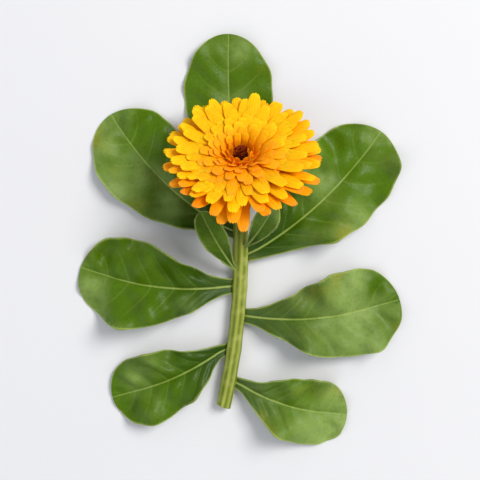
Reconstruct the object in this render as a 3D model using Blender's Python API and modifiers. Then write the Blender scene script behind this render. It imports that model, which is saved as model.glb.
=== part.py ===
"""A picked pot marigold: one double bloom on a cut leafy stem, lying on a table.

Everything is in metres with +Z up, and the table is the plane z = 0. The stem lies along Y with its cut
end towards -Y. The bloom stands at the +Y end, on the curved neck of the stem, and its face looks up and
towards +Y. The pieces are laid out round the foot of the bloom, and an empty then brings the middle of the
flower's length and width to the origin.
"""

import math
import random
from typing import NamedTuple

import bmesh
import bpy
from mathutils import Matrix, Vector

MM = 0.001
GAP = 0.3 * MM
LAYOUT_MIDDLE = Vector((-0.20, -23.68, 0.0)) * MM

# Bloom, in its own frame: +Z is the way the face looks, and the outer rays leave the receptacle at z = 0.
FACE_ELEVATION = math.radians(48)
BLOOM_CENTRE = Vector((0.0, 4.0, 20.5)) * MM
RECEPTACLE_RADIUS = 7.4 * MM
RECEPTACLE_DEPTH = 3.2 * MM
RECEPTACLE_RISE = 3.4 * MM
EYE_RADIUS = 2.5 * MM
EYE_MOUND = 1.6 * MM
EYE_TUBES = 14
TUBE_FOOT_RADIUS = 0.32 * MM
TUBE_MOUTH_RADIUS = 0.5 * MM
TUBE_LENGTH = 1.8 * MM
TUBE_LEAN = math.radians(12)
RAY_THICKNESS = 0.85 * MM
RAY_CROWN = 0.18
BLADE_THINNING = 0.3
RAY_CLAW_SHARE = 0.34
RAY_WIDEST = 0.66
RAY_TIP_TAPER = 0.5
RAY_SEED = 7
RAY_SPREAD = 0.16
RISE_SPREAD = 3.0
CURL_SPREAD = 5.0
LENGTH_RANGE = (0.95, 1.02)
WIDTH_RANGE = (0.92, 1.06)
LONG_RAY_STATIONS = (0.0, 0.28, 0.58, 0.84, 1.0)
SHORT_RAY_STATIONS = (0.0, 0.42, 0.78, 1.0)

# One group of rays beside the stem droops, those on the side of the table are pushed up a little, and the
# rays on the right are a little longer than those on the left.
STEM_SIDE = math.radians(-90)
DROOP_SIDE = math.radians(-98)
DROOP_TURN = math.radians(4)
DROOP_CURL = math.radians(22)
DROOP_HALF_ANGLE = math.radians(22)
TABLE_LIFT = math.radians(3)
SIDE_STRETCH = 0.05

# Involucre, in the bloom's frame: the cup under the receptacle and its bracts.
CUP_DEPTH = 8.4 * MM
CUP_RADIUS = 8.6 * MM
CUP_GAP = 0.45 * MM
BRACT_COUNT = 21
BRACT_LENGTH = 11.0 * MM
BRACT_WIDTH = 2.4 * MM
BRACT_THICKNESS = 0.8 * MM
BRACT_RISE = math.radians(-14)
BRACT_CURL = math.radians(-24)
BRACT_TIP_SHARE = 0.12
BRACT_ROUNDING = 0.8
BRACT_STATIONS = (0.0, 0.35, 0.7, 1.0)

# Stem: a length that lies on the table, then the neck that curves up to the bloom.
STEM_RADIUS = 2.6 * MM
NECK_RADIUS = 2.1 * MM
STEM_LIE_LENGTH = 54.0 * MM
STEM_SWAY = -6.0 * MM
STEM_RIDGES = 7
RIDGE_DEPTH = 0.10
TABLE_GAP = 0.1 * MM
STEM_STEP = 4.0 * MM

# Leaves.
LEAF_ROWS = 18
LEAF_COLUMNS = 6
LEAF_ROW_CROWDING = 1.3
LEAF_RIB_THICKNESS = 1.5 * MM
LEAF_EDGE_THICKNESS = 0.8 * MM
LEAF_REST_HEIGHT = 1.0 * MM
LEAF_FOOT_SHARE = 0.17
LEAF_FOOT_POWER = 1.6
LEAF_WIDEST = 0.64
LEAF_TIP_END = 0.99
LEAF_TIP_POWER = 2.3
FOOT_LIFT = 0.6 * MM
FOOT_TWIST_SHARE = 0.2
FOOT_STRAIGHT_SHARE = 0.3
FOLD_LOSS = 0.6
EDGE_WAVE_LEAD = 1.3
WAVE_REACH = 0.8
SWELLING_SHARE = 0.25
SWELLING_START = 6.0
SWELLING_WAVES = ((0.055, 0.03), (-0.035, 0.06), (0.02, -0.085))


class Whorl(NamedTuple):
    """One ring of ray florets. Lengths are in mm and angles in degrees; rise is the slope at the root."""

    count: int
    length: float
    width: float
    rise: float
    curl: float
    root_radius: float
    root_height: float


class Leaf(NamedTuple):
    """One leaf. Lengths are in mm and angles in degrees.

    seat is the distance of the leaf's foot from the stem's cut end, and side its place round the stem: 0 is
    right, 90 top and 180 left. heading is the way it points in plan, from +X towards +Y, and sweep how far
    that has turned at the tip. rise and fall are the slopes at the foot and at the tip, fold the slope of
    each half beside the rib, and wave and waves the height and number of the waves in its edge.
    """

    name: str
    seat: float
    side: float
    heading: float
    sweep: float
    length: float
    width: float
    rise: float
    fall: float
    fold: float
    wave: float
    waves: float
    phase: float


OUTER_WHORLS = (
    Whorl(21, 20.6, 4.6, 6, 0, 6.0, 0.2),
    Whorl(21, 20.2, 4.5, 13, -2, 5.9, 0.8),
    Whorl(19, 19.2, 4.4, 21, -8, 5.7, 1.3),
    Whorl(19, 17.2, 4.2, 29, -22, 5.4, 1.7),
    Whorl(17, 12.4, 4.1, 42, -56, 5.0, 2.0),
)
BUTTON_WHORLS = (
    Whorl(15, 11.0, 3.9, 58, -66, 4.7, 2.3),
    Whorl(13, 7.0, 3.0, 64, -34, 4.4, 2.5),
    Whorl(12, 5.2, 2.3, 72, -20, 4.0, 2.7),
    Whorl(10, 3.8, 1.9, 80, 6, 3.5, 2.9),
)

LEAVES = (
    Leaf("leaf_under_bloom", 68.0, -90, 100, -12, 60, 30, -14, 12, 0, 0.8, 1.5, 0.2),
    Leaf("leaf_upper_left", 61.0, 178, 152, -32, 60, 31, 8, -26, 14, 3.0, 1.9, 0.9),
    Leaf("leaf_upper_right", 53.0, 2, 30, 26, 64, 32, 11, -26, 14, 3.0, 1.8, 2.2),
    Leaf("leaf_middle_left", 42.0, 176, 186, -26, 56, 30, 24, -38, 21, 3.6, 2.1, 1.1),
    Leaf("leaf_middle_right", 32.0, 5, -6, 24, 57, 30, 23, -38, 20, 3.6, 1.9, 3.0),
    Leaf("leaf_lower_left", 20.0, 178, 214, -20, 46, 25, 22, -38, 21, 3.0, 1.8, 0.0),
    Leaf("leaf_lower_right", 9.0, 3, -30, 26, 43, 24, 22, -38, 21, 3.0, 1.8, 1.6),
    Leaf("leaf_neck_right", 56.0, 60, 50, 16, 24, 8, 46, 34, 22, 0.6, 1.4, 0.8),
    Leaf("leaf_neck_left", 48.0, 122, 124, -10, 27, 9, 36, 22, 20, 0.6, 1.4, 2.4),
)


def clear_scene():
    """Removes whatever the file holds."""
    for obj in list(bpy.data.objects):
        bpy.data.objects.remove(obj)


def new_collection(name):
    """A collection linked to the scene."""
    collection = bpy.data.collections.new(name)
    bpy.context.scene.collection.children.link(collection)
    return collection


def new_object(name, data, collection):
    """An object for this mesh or curve, linked to the collection."""
    obj = bpy.data.objects.new(name, data)
    collection.objects.link(obj)
    return obj


def new_material(name, color, roughness):
    """A Principled BSDF material of one colour, given as linear red, green and blue."""
    material = bpy.data.materials.new(name)
    material.use_nodes = True
    shader = material.node_tree.nodes["Principled BSDF"]
    shader.inputs["Base Color"].default_value = (*color, 1.0)
    shader.inputs["Roughness"].default_value = roughness
    shader.inputs["Metallic"].default_value = 0.0
    material.diffuse_color = (*color, 1.0)
    return material


def finish(obj, material, smooth_angle=40):
    """Dresses a mesh object: its material, and smooth shading apart from its sharp edges."""
    obj.data.name = obj.name
    obj.data.materials.clear()
    obj.data.materials.append(material)
    obj.data.shade_smooth()
    obj.data.set_sharp_from_angle(angle=math.radians(smooth_angle))


def evaluated_mesh(obj):
    """A new mesh of obj with its modifiers applied, in the layout's frame."""
    shown = obj.evaluated_get(bpy.context.evaluated_depsgraph_get())
    mesh = bpy.data.meshes.new_from_object(shown)
    mesh.transform(shown.matrix_world)
    return mesh


def bloom_matrix():
    """The bloom's frame in the layout: its +Z leans from the vertical towards +Y."""
    return Matrix.Translation(BLOOM_CENTRE) @ Matrix.Rotation(FACE_ELEVATION - math.pi / 2, 4, "X")


def turned(name, profile, steps, collection):
    """A turned solid. The (radius, height) points run down the outside from the top of the axis."""
    bm = bmesh.new()
    points = [bm.verts.new((radius, 0.0, height)) for radius, height in profile]
    for upper, lower in zip(points, points[1:]):
        bm.edges.new((upper, lower))
    mesh = bpy.data.meshes.new(name)
    bm.to_mesh(mesh)
    bm.free()
    obj = new_object(name, mesh, collection)
    screw = obj.modifiers.new("turn", "SCREW")
    screw.steps = steps
    screw.render_steps = steps
    screw.use_merge_vertices = True
    screw.merge_threshold = 0.00001
    return obj


def arc_point(length, rise, curl, share):
    """Reach, height and slope on an arc that leaves at slope rise and has turned by curl at its end."""
    slope = rise + curl * share
    if abs(curl) < 1e-6:
        return length * share * math.cos(rise), length * share * math.sin(rise), slope
    reach = length * (math.sin(slope) - math.sin(rise)) / curl
    height = length * (math.cos(rise) - math.cos(slope)) / curl
    return reach, height, slope


def ray_outline(share):
    """Half width of a ray floret as a share of its widest, from its narrow claw to its blunt tip."""
    if share < RAY_WIDEST:
        return RAY_CLAW_SHARE + (1 - RAY_CLAW_SHARE) * math.sin(math.pi / 2 * share / RAY_WIDEST)
    return 1.0 - RAY_TIP_TAPER * ((share - RAY_WIDEST) / (1 - RAY_WIDEST)) ** 3


def bract_outline(share):
    """Half width of a bract as a share of its widest: a broad foot that narrows to a point."""
    narrowing = max(0.0, math.cos(math.pi / 2 * share)) ** BRACT_ROUNDING
    return BRACT_TIP_SHARE + (1 - BRACT_TIP_SHARE) * narrowing


def leaf_outline(share):
    """Half width of a leaf as a share of its widest: a long narrow foot, a broad body and a round tip."""
    if share < LEAF_WIDEST:
        growth = math.sin(math.pi / 2 * share / LEAF_WIDEST) ** LEAF_FOOT_POWER
        return LEAF_FOOT_SHARE + (1 - LEAF_FOOT_SHARE) * growth
    return math.sqrt(1 - (LEAF_TIP_END * (share - LEAF_WIDEST) / (1 - LEAF_WIDEST)) ** LEAF_TIP_POWER)


def blade(name, stations, outline, size, rise, curl, root, azimuth, collection):
    """A thin solid strap with a lens section, bent along an arc and set out from the bloom's axis.

    It starts as a square bar on its edge, cut at the stations and moved point by point onto the arc. size is
    its length, width and thickness, and root the radius and height that it grows from.
    """
    length, width, thickness = size
    bm = bmesh.new()
    bmesh.ops.create_cone(bm, cap_ends=True, segments=4, radius1=1.0, radius2=1.0, depth=1.0)
    for share in stations[1:-1]:
        everything = bm.verts[:] + bm.edges[:] + bm.faces[:]
        bmesh.ops.bisect_plane(bm, geom=everything, plane_co=(0, 0, share - 0.5), plane_no=(0, 0, 1))
    for vert in bm.verts:
        side, face, share = vert.co.x, vert.co.y, vert.co.z + 0.5
        reach, height, slope = arc_point(length, rise, curl, share)
        half = 0.5 * width * outline(share)
        lift = 0.5 * thickness * (1 - BLADE_THINNING * share) * face - RAY_CROWN * abs(side) * half
        vert.co = (
            root[0] + reach - math.sin(slope) * lift,
            -half * side,
            root[1] + height + math.cos(slope) * lift,
        )
    bmesh.ops.rotate(bm, verts=bm.verts, matrix=Matrix.Rotation(azimuth, 3, "Z"))
    bmesh.ops.triangulate(bm, faces=bm.faces)
    bmesh.ops.recalc_face_normals(bm, faces=bm.faces)
    mesh = bpy.data.meshes.new(name)
    bm.to_mesh(mesh)
    bm.free()
    new_object(name, mesh, collection).matrix_world = bloom_matrix()


def shell_of(face, unseen):
    """The faces that lie on one closed skin with this face. They are taken out of unseen."""
    shell = [face]
    border = [face]
    while border:
        for edge in border.pop().edges:
            for other in edge.link_faces:
                if other in unseen:
                    unseen.remove(other)
                    shell.append(other)
                    border.append(other)
    return shell


def keep_outer_skin(mesh):
    """Keeps the largest skin of mesh: hollows that fusing seals are filled, and loose scraps dropped."""
    bm = bmesh.new()
    bm.from_mesh(mesh)
    unseen = set(bm.faces)
    shells = []
    while unseen:
        shells.append(shell_of(unseen.pop(), unseen))
    shells.sort(key=len)
    scraps = [face for shell in shells[:-1] for face in shell]
    bmesh.ops.delete(bm, geom=scraps, context="FACES")
    bmesh.ops.triangulate(bm, faces=bm.faces)
    bm.to_mesh(mesh)
    bm.free()


def fuse(name, core, blades, collection):
    """The core joined with every solid in the collection of blades, which are then removed."""
    union = core.modifiers.new("fuse", "BOOLEAN")
    union.operation = "UNION"
    union.operand_type = "COLLECTION"
    union.collection = blades
    union.solver = "MANIFOLD"
    mesh = evaluated_mesh(core)
    keep_outer_skin(mesh)
    for obj in list(blades.objects) + [core]:
        bpy.data.objects.remove(obj)
    bpy.data.collections.remove(blades)
    return new_object(name, mesh, collection)


def turn_from(centre, angle):
    """The smallest turn from centre to angle."""
    return (angle - centre + math.pi) % (2 * math.pi) - math.pi


def droop_at(azimuth):
    """How much of the droop a ray at this azimuth has, from 0 to 1."""
    return max(0.0, 1.0 - (turn_from(DROOP_SIDE, azimuth) / DROOP_HALF_ANGLE) ** 2)


def lift_at(azimuth):
    """How much the table pushes a ray up at this azimuth, from 0 to 1."""
    return max(0.0, -math.cos(turn_from(STEM_SIDE, azimuth))) ** 2


def add_ray_florets(collection):
    """The receptacle and every ray floret on it, fused."""
    radius, rise, depth = RECEPTACLE_RADIUS, RECEPTACLE_RISE, RECEPTACLE_DEPTH
    profile = (
        (0.0, rise),
        (EYE_RADIUS + 0.5 * MM, rise),
        (0.70 * radius, 0.80 * rise),
        (0.93 * radius, 0.45 * rise),
        (radius, 0.0),
        (0.95 * radius, -0.30 * depth),
        (0.70 * radius, -depth),
        (0.0, -depth),
    )
    core = turned("receptacle", profile, 24, collection)
    core.matrix_world = bloom_matrix()
    rays = new_collection("rays_to_fuse")
    draw = random.Random(RAY_SEED)
    for row, whorl in enumerate(OUTER_WHORLS + BUTTON_WHORLS):
        outer = max(0.0, 1.0 - row / len(OUTER_WHORLS))
        looseness = 1.0 if outer else 0.5
        for place in range(whorl.count):
            position = place + 0.5 * (row % 2) + draw.uniform(-RAY_SPREAD, RAY_SPREAD)
            azimuth = 2 * math.pi * position / whorl.count
            rise = math.radians(whorl.rise + looseness * draw.uniform(-RISE_SPREAD, RISE_SPREAD))
            curl = math.radians(whorl.curl + looseness * draw.uniform(-CURL_SPREAD, CURL_SPREAD))
            length = whorl.length * draw.uniform(*LENGTH_RANGE) * (1 + SIDE_STRETCH * math.cos(azimuth))
            width = whorl.width * draw.uniform(*WIDTH_RANGE)
            blade(
                f"ray_{row}_{place}",
                LONG_RAY_STATIONS if outer else SHORT_RAY_STATIONS,
                ray_outline,
                (length * MM, width * MM, RAY_THICKNESS),
                rise + outer * (TABLE_LIFT * lift_at(azimuth) - DROOP_TURN * droop_at(azimuth)),
                curl - outer * DROOP_CURL * droop_at(azimuth),
                (whorl.root_radius * MM, whorl.root_height * MM),
                azimuth,
                rays,
            )
    finish(fuse("ray_florets", core, rays, collection), new_material("ray_orange", (1.0, 0.45, 0.01), 0.6))


def add_disc_florets(collection):
    """The dark eye: a low mound on the receptacle with its small tubular florets standing out of it."""
    base = RECEPTACLE_RISE + GAP
    profile = (
        (0.0, base + EYE_MOUND),
        (0.55 * EYE_RADIUS, base + 0.85 * EYE_MOUND),
        (0.88 * EYE_RADIUS, base + 0.45 * EYE_MOUND),
        (0.92 * EYE_RADIUS, base),
        (0.0, base),
    )
    core = turned("eye_mound", profile, 16, collection)
    core.matrix_world = bloom_matrix()
    tubes = new_collection("tubes_to_fuse")
    golden_angle = math.pi * (3 - math.sqrt(5))
    for index in range(EYE_TUBES):
        spread = math.sqrt((index + 0.5) / EYE_TUBES)
        bm = bmesh.new()
        bmesh.ops.create_cone(
            bm,
            cap_ends=True,
            segments=5,
            radius1=TUBE_FOOT_RADIUS,
            radius2=TUBE_MOUTH_RADIUS,
            depth=TUBE_LENGTH,
        )
        height = base + EYE_MOUND * (1.1 - 0.55 * spread**2)
        place = Matrix.Rotation(index * golden_angle, 4, "Z")
        place @= Matrix.Translation((0.62 * EYE_RADIUS * spread, 0.0, height))
        place @= Matrix.Rotation(TUBE_LEAN * spread, 4, "Y")
        bmesh.ops.transform(bm, matrix=place, verts=bm.verts)
        mesh = bpy.data.meshes.new("tube")
        bm.to_mesh(mesh)
        bm.free()
        new_object(f"tube_{index}", mesh, tubes).matrix_world = bloom_matrix()
    maroon = new_material("disc_maroon", (0.09, 0.01, 0.01), 0.6)
    finish(fuse("disc_florets", core, tubes, collection), maroon)


def add_involucre(material, collection):
    """The green cup that holds the receptacle, with its ring of pointed bracts."""
    seat = RECEPTACLE_DEPTH + GAP + 0.1 * MM
    profile = (
        (0.0, -seat),
        (0.74 * RECEPTACLE_RADIUS, -seat),
        (RECEPTACLE_RADIUS + 0.35 * MM, -0.60 * RECEPTACLE_DEPTH),
        (CUP_RADIUS, -0.70 * RECEPTACLE_DEPTH),
        (0.97 * CUP_RADIUS, -0.46 * CUP_DEPTH),
        (0.70 * CUP_RADIUS, -0.76 * CUP_DEPTH),
        (0.36 * CUP_RADIUS, -0.94 * CUP_DEPTH),
        (NECK_RADIUS + 0.5 * MM, -CUP_DEPTH),
        (0.0, -CUP_DEPTH),
    )
    cup = turned("cup", profile, 24, collection)
    cup.matrix_world = bloom_matrix()
    bracts = new_collection("bracts_to_fuse")
    for place in range(BRACT_COUNT):
        blade(
            f"bract_{place}",
            BRACT_STATIONS,
            bract_outline,
            (BRACT_LENGTH * (1.0 if place % 2 else 0.88), BRACT_WIDTH, BRACT_THICKNESS),
            BRACT_RISE,
            BRACT_CURL,
            (0.84 * CUP_RADIUS, -0.40 * CUP_DEPTH),
            2 * math.pi * place / BRACT_COUNT,
            bracts,
        )
    finish(fuse("involucre", cup, bracts, collection), material)


def neck_arc():
    """Where the neck leaves the lying stem (its y), and its radius of bend."""
    top = bloom_matrix() @ Vector((0.0, 0.0, -CUP_DEPTH - CUP_GAP))
    bend = (top.z - STEM_RADIUS - TABLE_GAP) / (1 - math.cos(FACE_ELEVATION))
    return top.y - bend * math.sin(FACE_ELEVATION), bend


def stem_length():
    """Length of the stem, from its cut end to the cup."""
    return STEM_LIE_LENGTH + neck_arc()[1] * FACE_ELEVATION


def stem_frame(distance):
    """Centre, direction and radius of the stem at this distance from its cut end."""
    neck_y, bend = neck_arc()
    height = STEM_RADIUS + TABLE_GAP
    share = distance / STEM_LIE_LENGTH
    radius = STEM_RADIUS
    if share < 1.0:
        centre = Vector((STEM_SWAY * (1 - share) ** 2, neck_y + distance - STEM_LIE_LENGTH, height))
        direction = Vector((-2 * STEM_SWAY * (1 - share) / STEM_LIE_LENGTH, 1.0, 0.0)).normalized()
    else:
        slope = (distance - STEM_LIE_LENGTH) / bend
        centre = Vector((0.0, neck_y + bend * math.sin(slope), height + bend * (1 - math.cos(slope))))
        direction = Vector((0.0, math.cos(slope), math.sin(slope)))
        radius += (NECK_RADIUS - STEM_RADIUS) * slope / FACE_ELEVATION
    return centre, direction, radius


def add_stem(material, collection, guides):
    """The ridged stem: a curve with a ridged outline as its section, filled at both ends."""
    outline = bpy.data.curves.new("stem_section", "CURVE")
    ring = outline.splines.new("POLY")
    ring.points.add(2 * STEM_RIDGES - 1)
    for index, point in enumerate(ring.points):
        angle = math.pi * index / STEM_RIDGES
        reach = STEM_RADIUS * (1.0 - RIDGE_DEPTH * (index % 2))
        point.co = (reach * math.cos(angle), reach * math.sin(angle), 0.0, 1.0)
    ring.use_cyclic_u = True
    section = new_object("stem_section", outline, guides)
    section.hide_render = True
    section.display_type = "WIRE"

    curve = bpy.data.curves.new("stem", "CURVE")
    curve.dimensions = "3D"
    curve.bevel_mode = "OBJECT"
    curve.bevel_object = section
    curve.use_fill_caps = True
    spline = curve.splines.new("POLY")
    steps = round(stem_length() / STEM_STEP)
    spline.points.add(steps)
    for index, point in enumerate(spline.points):
        centre, _, radius = stem_frame(stem_length() * index / steps)
        point.co = (*centre, 1.0)
        point.radius = radius / STEM_RADIUS
    stem = new_object("stem_curve", curve, collection)
    mesh = evaluated_mesh(stem)
    bpy.data.objects.remove(stem)
    bm = bmesh.new()
    bm.from_mesh(mesh)
    bmesh.ops.remove_doubles(bm, verts=bm.verts, dist=0.00001)
    bmesh.ops.recalc_face_normals(bm, faces=bm.faces)
    bm.to_mesh(mesh)
    bm.free()
    finish(new_object("stem", mesh, collection), material)


def leaf_spine(leaf):
    """The rows of a leaf along its rib: each has its point, the way across it and its share."""
    centre, stem_way, radius = stem_frame(leaf.seat * MM)
    right = stem_way.cross(Vector((0.0, 0.0, 1.0))).normalized()
    out = Matrix.Rotation(-math.radians(leaf.side), 3, stem_way) @ right
    point = centre + out * (radius + GAP + FOOT_LIFT * max(0.0, out.z))
    rows = []
    last = 0.0
    for row in range(LEAF_ROWS + 1):
        share = 1 - (1 - row / LEAF_ROWS) ** LEAF_ROW_CROWDING
        heading = math.radians(leaf.heading + leaf.sweep * share)
        slope = math.radians(leaf.rise + (leaf.fall - leaf.rise) * share)
        forward = Vector((math.cos(heading), math.sin(heading), 0.0))
        across = Vector((-forward.y, forward.x, 0.0))
        along_stem = across - out * across.dot(out)
        across = along_stem.normalized().lerp(across, min(1.0, share / FOOT_TWIST_SHARE)).normalized()
        way = forward * math.cos(slope) + Vector((0.0, 0.0, math.sin(slope)))
        point += way * (share - last) * leaf.length * MM
        point.z = max(point.z, LEAF_REST_HEIGHT)
        rows.append((point.copy(), across, share))
        last = share
    return rows


def leaf_swelling(leaf, x, y, phases):
    """Height of the soft swellings at x mm beside the rib and y mm along it."""
    total = 0.0
    for (across, along), phase in zip(SWELLING_WAVES, phases):
        total += math.sin(2 * math.pi * (across * x + along * y) + phase)
    return SWELLING_SHARE * leaf.wave * MM * total * min(1.0, abs(x) / SWELLING_START)


def add_leaf(leaf, material, collection):
    """A thick waved blade: a grid laid along the rib, thinner towards its edges, pressed on the table."""
    rows = leaf_spine(leaf)
    draw = random.Random(leaf.name)
    phases = [draw.uniform(0, 2 * math.pi) for _ in SWELLING_WAVES]
    bm = bmesh.new()
    bmesh.ops.create_grid(bm, x_segments=LEAF_COLUMNS, y_segments=LEAF_ROWS, size=1.0)
    sides = []
    for vert in bm.verts:
        side = vert.co.x
        point, across, share = rows[round((vert.co.y + 1) / 2 * LEAF_ROWS)]
        half = 0.5 * leaf.width * MM * leaf_outline(share)
        growth = min(1.0, share / FOOT_STRAIGHT_SHARE)
        fold = math.tan(math.radians(leaf.fold)) * (1 - FOLD_LOSS * share) * abs(side) * half
        turn = 2 * math.pi * leaf.waves * share + leaf.phase + EDGE_WAVE_LEAD * side
        spread = side * min(1.0, leaf_outline(share) / WAVE_REACH)
        wave = leaf.wave * MM * spread**2 * math.sin(turn)
        swelling = leaf_swelling(leaf, side * half / MM, share * leaf.length, phases)
        vert.co = point - across * side * half
        vert.co.z = max(vert.co.z + growth * (fold + wave + swelling), LEAF_EDGE_THICKNESS)
        sides.append(abs(side))
    bmesh.ops.triangulate(bm, faces=bm.faces)
    mesh = bpy.data.meshes.new(leaf.name)
    bm.to_mesh(mesh)
    bm.free()
    blade_object = new_object("blade", mesh, collection)
    rib = blade_object.vertex_groups.new(name="rib")
    for index, side in enumerate(sides):
        rib.add([index], 1.0 - side, "REPLACE")
    thicken = blade_object.modifiers.new("thicken", "SOLIDIFY")
    thicken.thickness = LEAF_RIB_THICKNESS
    thicken.offset = -1.0
    thicken.vertex_group = rib.name
    thicken.thickness_vertex_group = LEAF_EDGE_THICKNESS / LEAF_RIB_THICKNESS
    solid = evaluated_mesh(blade_object)
    bpy.data.objects.remove(blade_object)
    for vert in solid.vertices:
        vert.co.z = max(vert.co.z, 0.0)
    finish(new_object(leaf.name, solid, collection), material)


def main():
    """Builds the flower and brings it to the origin."""
    clear_scene()
    flower = new_collection("marigold_flower")
    guides = new_collection("guides")
    leaf_green = new_material("leaf_green", (0.10, 0.20, 0.03), 0.55)
    stem_green = new_material("stem_green", (0.22, 0.26, 0.04), 0.6)
    add_ray_florets(flower)
    add_disc_florets(flower)
    add_involucre(stem_green, flower)
    add_stem(stem_green, flower, guides)
    for leaf in LEAVES:
        add_leaf(leaf, leaf_green, flower)
    place = bpy.data.objects.new("flower_place", None)
    flower.objects.link(place)
    place.location = -LAYOUT_MIDDLE
    for obj in flower.objects:
        if obj is not place:
            obj.parent = place


main()
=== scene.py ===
"""Dresses a picked pot marigold: fine petals, a tubular eye, veined leaves and a hairy ridged stem.

Everything is in metres in the frame of the solids: +Z is up, the table is z = 0, the stem lies along Y with
its cut end towards -Y, and the bloom stands at the +Y end with its face up and towards +Y. The main sizes are
those of the solids, so each fine piece stays where its solid is.
"""

import logging
import math
import random
from collections.abc import Callable, Sequence
from dataclasses import dataclass
from enum import Enum
from functools import partial

import bpy
import numpy as np
from mathutils import Matrix, Vector


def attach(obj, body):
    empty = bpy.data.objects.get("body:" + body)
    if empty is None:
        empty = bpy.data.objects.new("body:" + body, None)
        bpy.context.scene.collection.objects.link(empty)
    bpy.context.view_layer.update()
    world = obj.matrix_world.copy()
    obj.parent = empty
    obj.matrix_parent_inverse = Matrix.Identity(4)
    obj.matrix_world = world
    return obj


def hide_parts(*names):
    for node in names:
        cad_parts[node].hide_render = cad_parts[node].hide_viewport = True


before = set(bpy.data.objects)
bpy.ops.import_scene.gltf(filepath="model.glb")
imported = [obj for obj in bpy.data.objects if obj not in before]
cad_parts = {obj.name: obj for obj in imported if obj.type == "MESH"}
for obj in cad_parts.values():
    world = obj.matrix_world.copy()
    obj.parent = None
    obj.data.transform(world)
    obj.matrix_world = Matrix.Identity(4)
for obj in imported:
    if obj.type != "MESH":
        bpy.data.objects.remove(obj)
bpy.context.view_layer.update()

LOG = logging.getLogger("marigold")
MM = 0.001
BODY = "root"
UV_NAME = "UVMap"
UP = Vector((0.0, 0.0, 1.0))
Span = tuple[float, float]

# Places and sizes that several pieces share
LAYOUT_SHIFT = Vector((0.20, 23.68, 0.0)) * MM
BLOOM_CENTRE = Vector((0.0, 4.0, 20.5)) * MM
FACE_ELEVATION = math.radians(48)
RECEPTACLE_RADIUS = 7.4 * MM
RECEPTACLE_DEPTH = 3.2 * MM
CUP_DEPTH = 8.4 * MM

# The widest leaf's half width, and the side veins of each leaf: their number, and their lean and bend forward
WIDEST_HALF = 16 * MM
VEINS = 7.0
VEIN_LEAN = 1.4
VEIN_BEND = 1.3

# A leaf's hairs stand on its margin only: past this share of its half width
HAIRY_EDGE = 0.97

# Settings of the commonest node, a smooth step from one value to another
STEP = {"kind": "MapRange", "interpolation_type": "SMOOTHSTEP"}


class Slot(Enum):
    """Material slots."""

    PETALS = "petals"
    EYE = "eye"
    LEAF = "leaf"
    STEM = "stem"


class FloretStage(Enum):
    """How far a floret of the eye has opened."""

    BUD = "bud"
    OPEN = "open"


# Shared helpers


def linear(code: str) -> tuple[float, float, float, float]:
    """Turns an sRGB colour into linear light.

    Args:
        code: The colour as "#rrggbb".

    Returns:
        Linear red, green and blue, with an alpha of one.
    """
    channels = [int(code[start : start + 2], 16) / 255 for start in (1, 3, 5)]
    red, green, blue = (c / 12.92 if c <= 0.04045 else ((c + 0.055) / 1.055) ** 2.4 for c in channels)
    return red, green, blue, 1.0


def deselect_all() -> None:
    """Leaves edit mode and clears the selection."""
    if bpy.context.mode != "OBJECT":
        bpy.ops.object.mode_set(mode="OBJECT")
    bpy.ops.object.select_all(action="DESELECT")


def make_active(obj: bpy.types.Object) -> None:
    """Selects this object alone and makes it the active one.

    Args:
        obj: The object.
    """
    deselect_all()
    obj.select_set(True)
    bpy.context.view_layer.objects.active = obj


def coordinates(obj: bpy.types.Object) -> np.ndarray:
    """Reads the vertices of a mesh object.

    Args:
        obj: The mesh object.

    Returns:
        One row of three metres for each vertex.
    """
    flat = np.zeros(len(obj.data.vertices) * 3)
    obj.data.vertices.foreach_get("co", flat)
    return flat.reshape(-1, 3)


def set_coordinates(obj: bpy.types.Object, points: np.ndarray) -> None:
    """Moves the vertices of a mesh object to these rows."""
    obj.data.vertices.foreach_set("co", np.ascontiguousarray(points, np.float32).ravel())
    obj.data.update()


def set_attribute(obj: bpy.types.Object, name: str, values: np.ndarray | float) -> None:
    """Stores one number at each vertex.

    Args:
        obj: The mesh object.
        name: The attribute's name.
        values: One value for each vertex, or one for all of them.
    """
    attribute = obj.data.attributes.get(name) or obj.data.attributes.new(name, "FLOAT", "POINT")
    filled = np.broadcast_to(np.asarray(values, np.float32), len(obj.data.vertices))
    attribute.data.foreach_set("value", np.ascontiguousarray(filled))


def apply_modifier(obj: bpy.types.Object, kind: str, **settings: object) -> None:
    """Adds a modifier with these settings and applies it.

    Args:
        obj: The object that it changes.
        kind: The modifier's type.
        **settings: Values by name.
    """
    make_active(obj)
    modifier = obj.modifiers.new(kind.lower(), kind)
    for key, value in settings.items():
        setattr(modifier, key, value)
    bpy.ops.object.modifier_apply(modifier=modifier.name)


def select_where(obj: bpy.types.Object, test: Callable[[Vector], bool]) -> None:
    """Selects, in edit mode, the vertices whose place passes the test.

    Args:
        obj: The mesh object, in edit mode.
        test: Says of a vertex's place whether the vertex is wanted.
    """
    bpy.ops.mesh.select_mode(type="VERT")
    bpy.ops.mesh.select_all(action="DESELECT")
    bpy.ops.object.mode_set(mode="OBJECT")
    for vert in obj.data.vertices:
        vert.select = test(vert.co)
    bpy.ops.object.mode_set(mode="EDIT")


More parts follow.
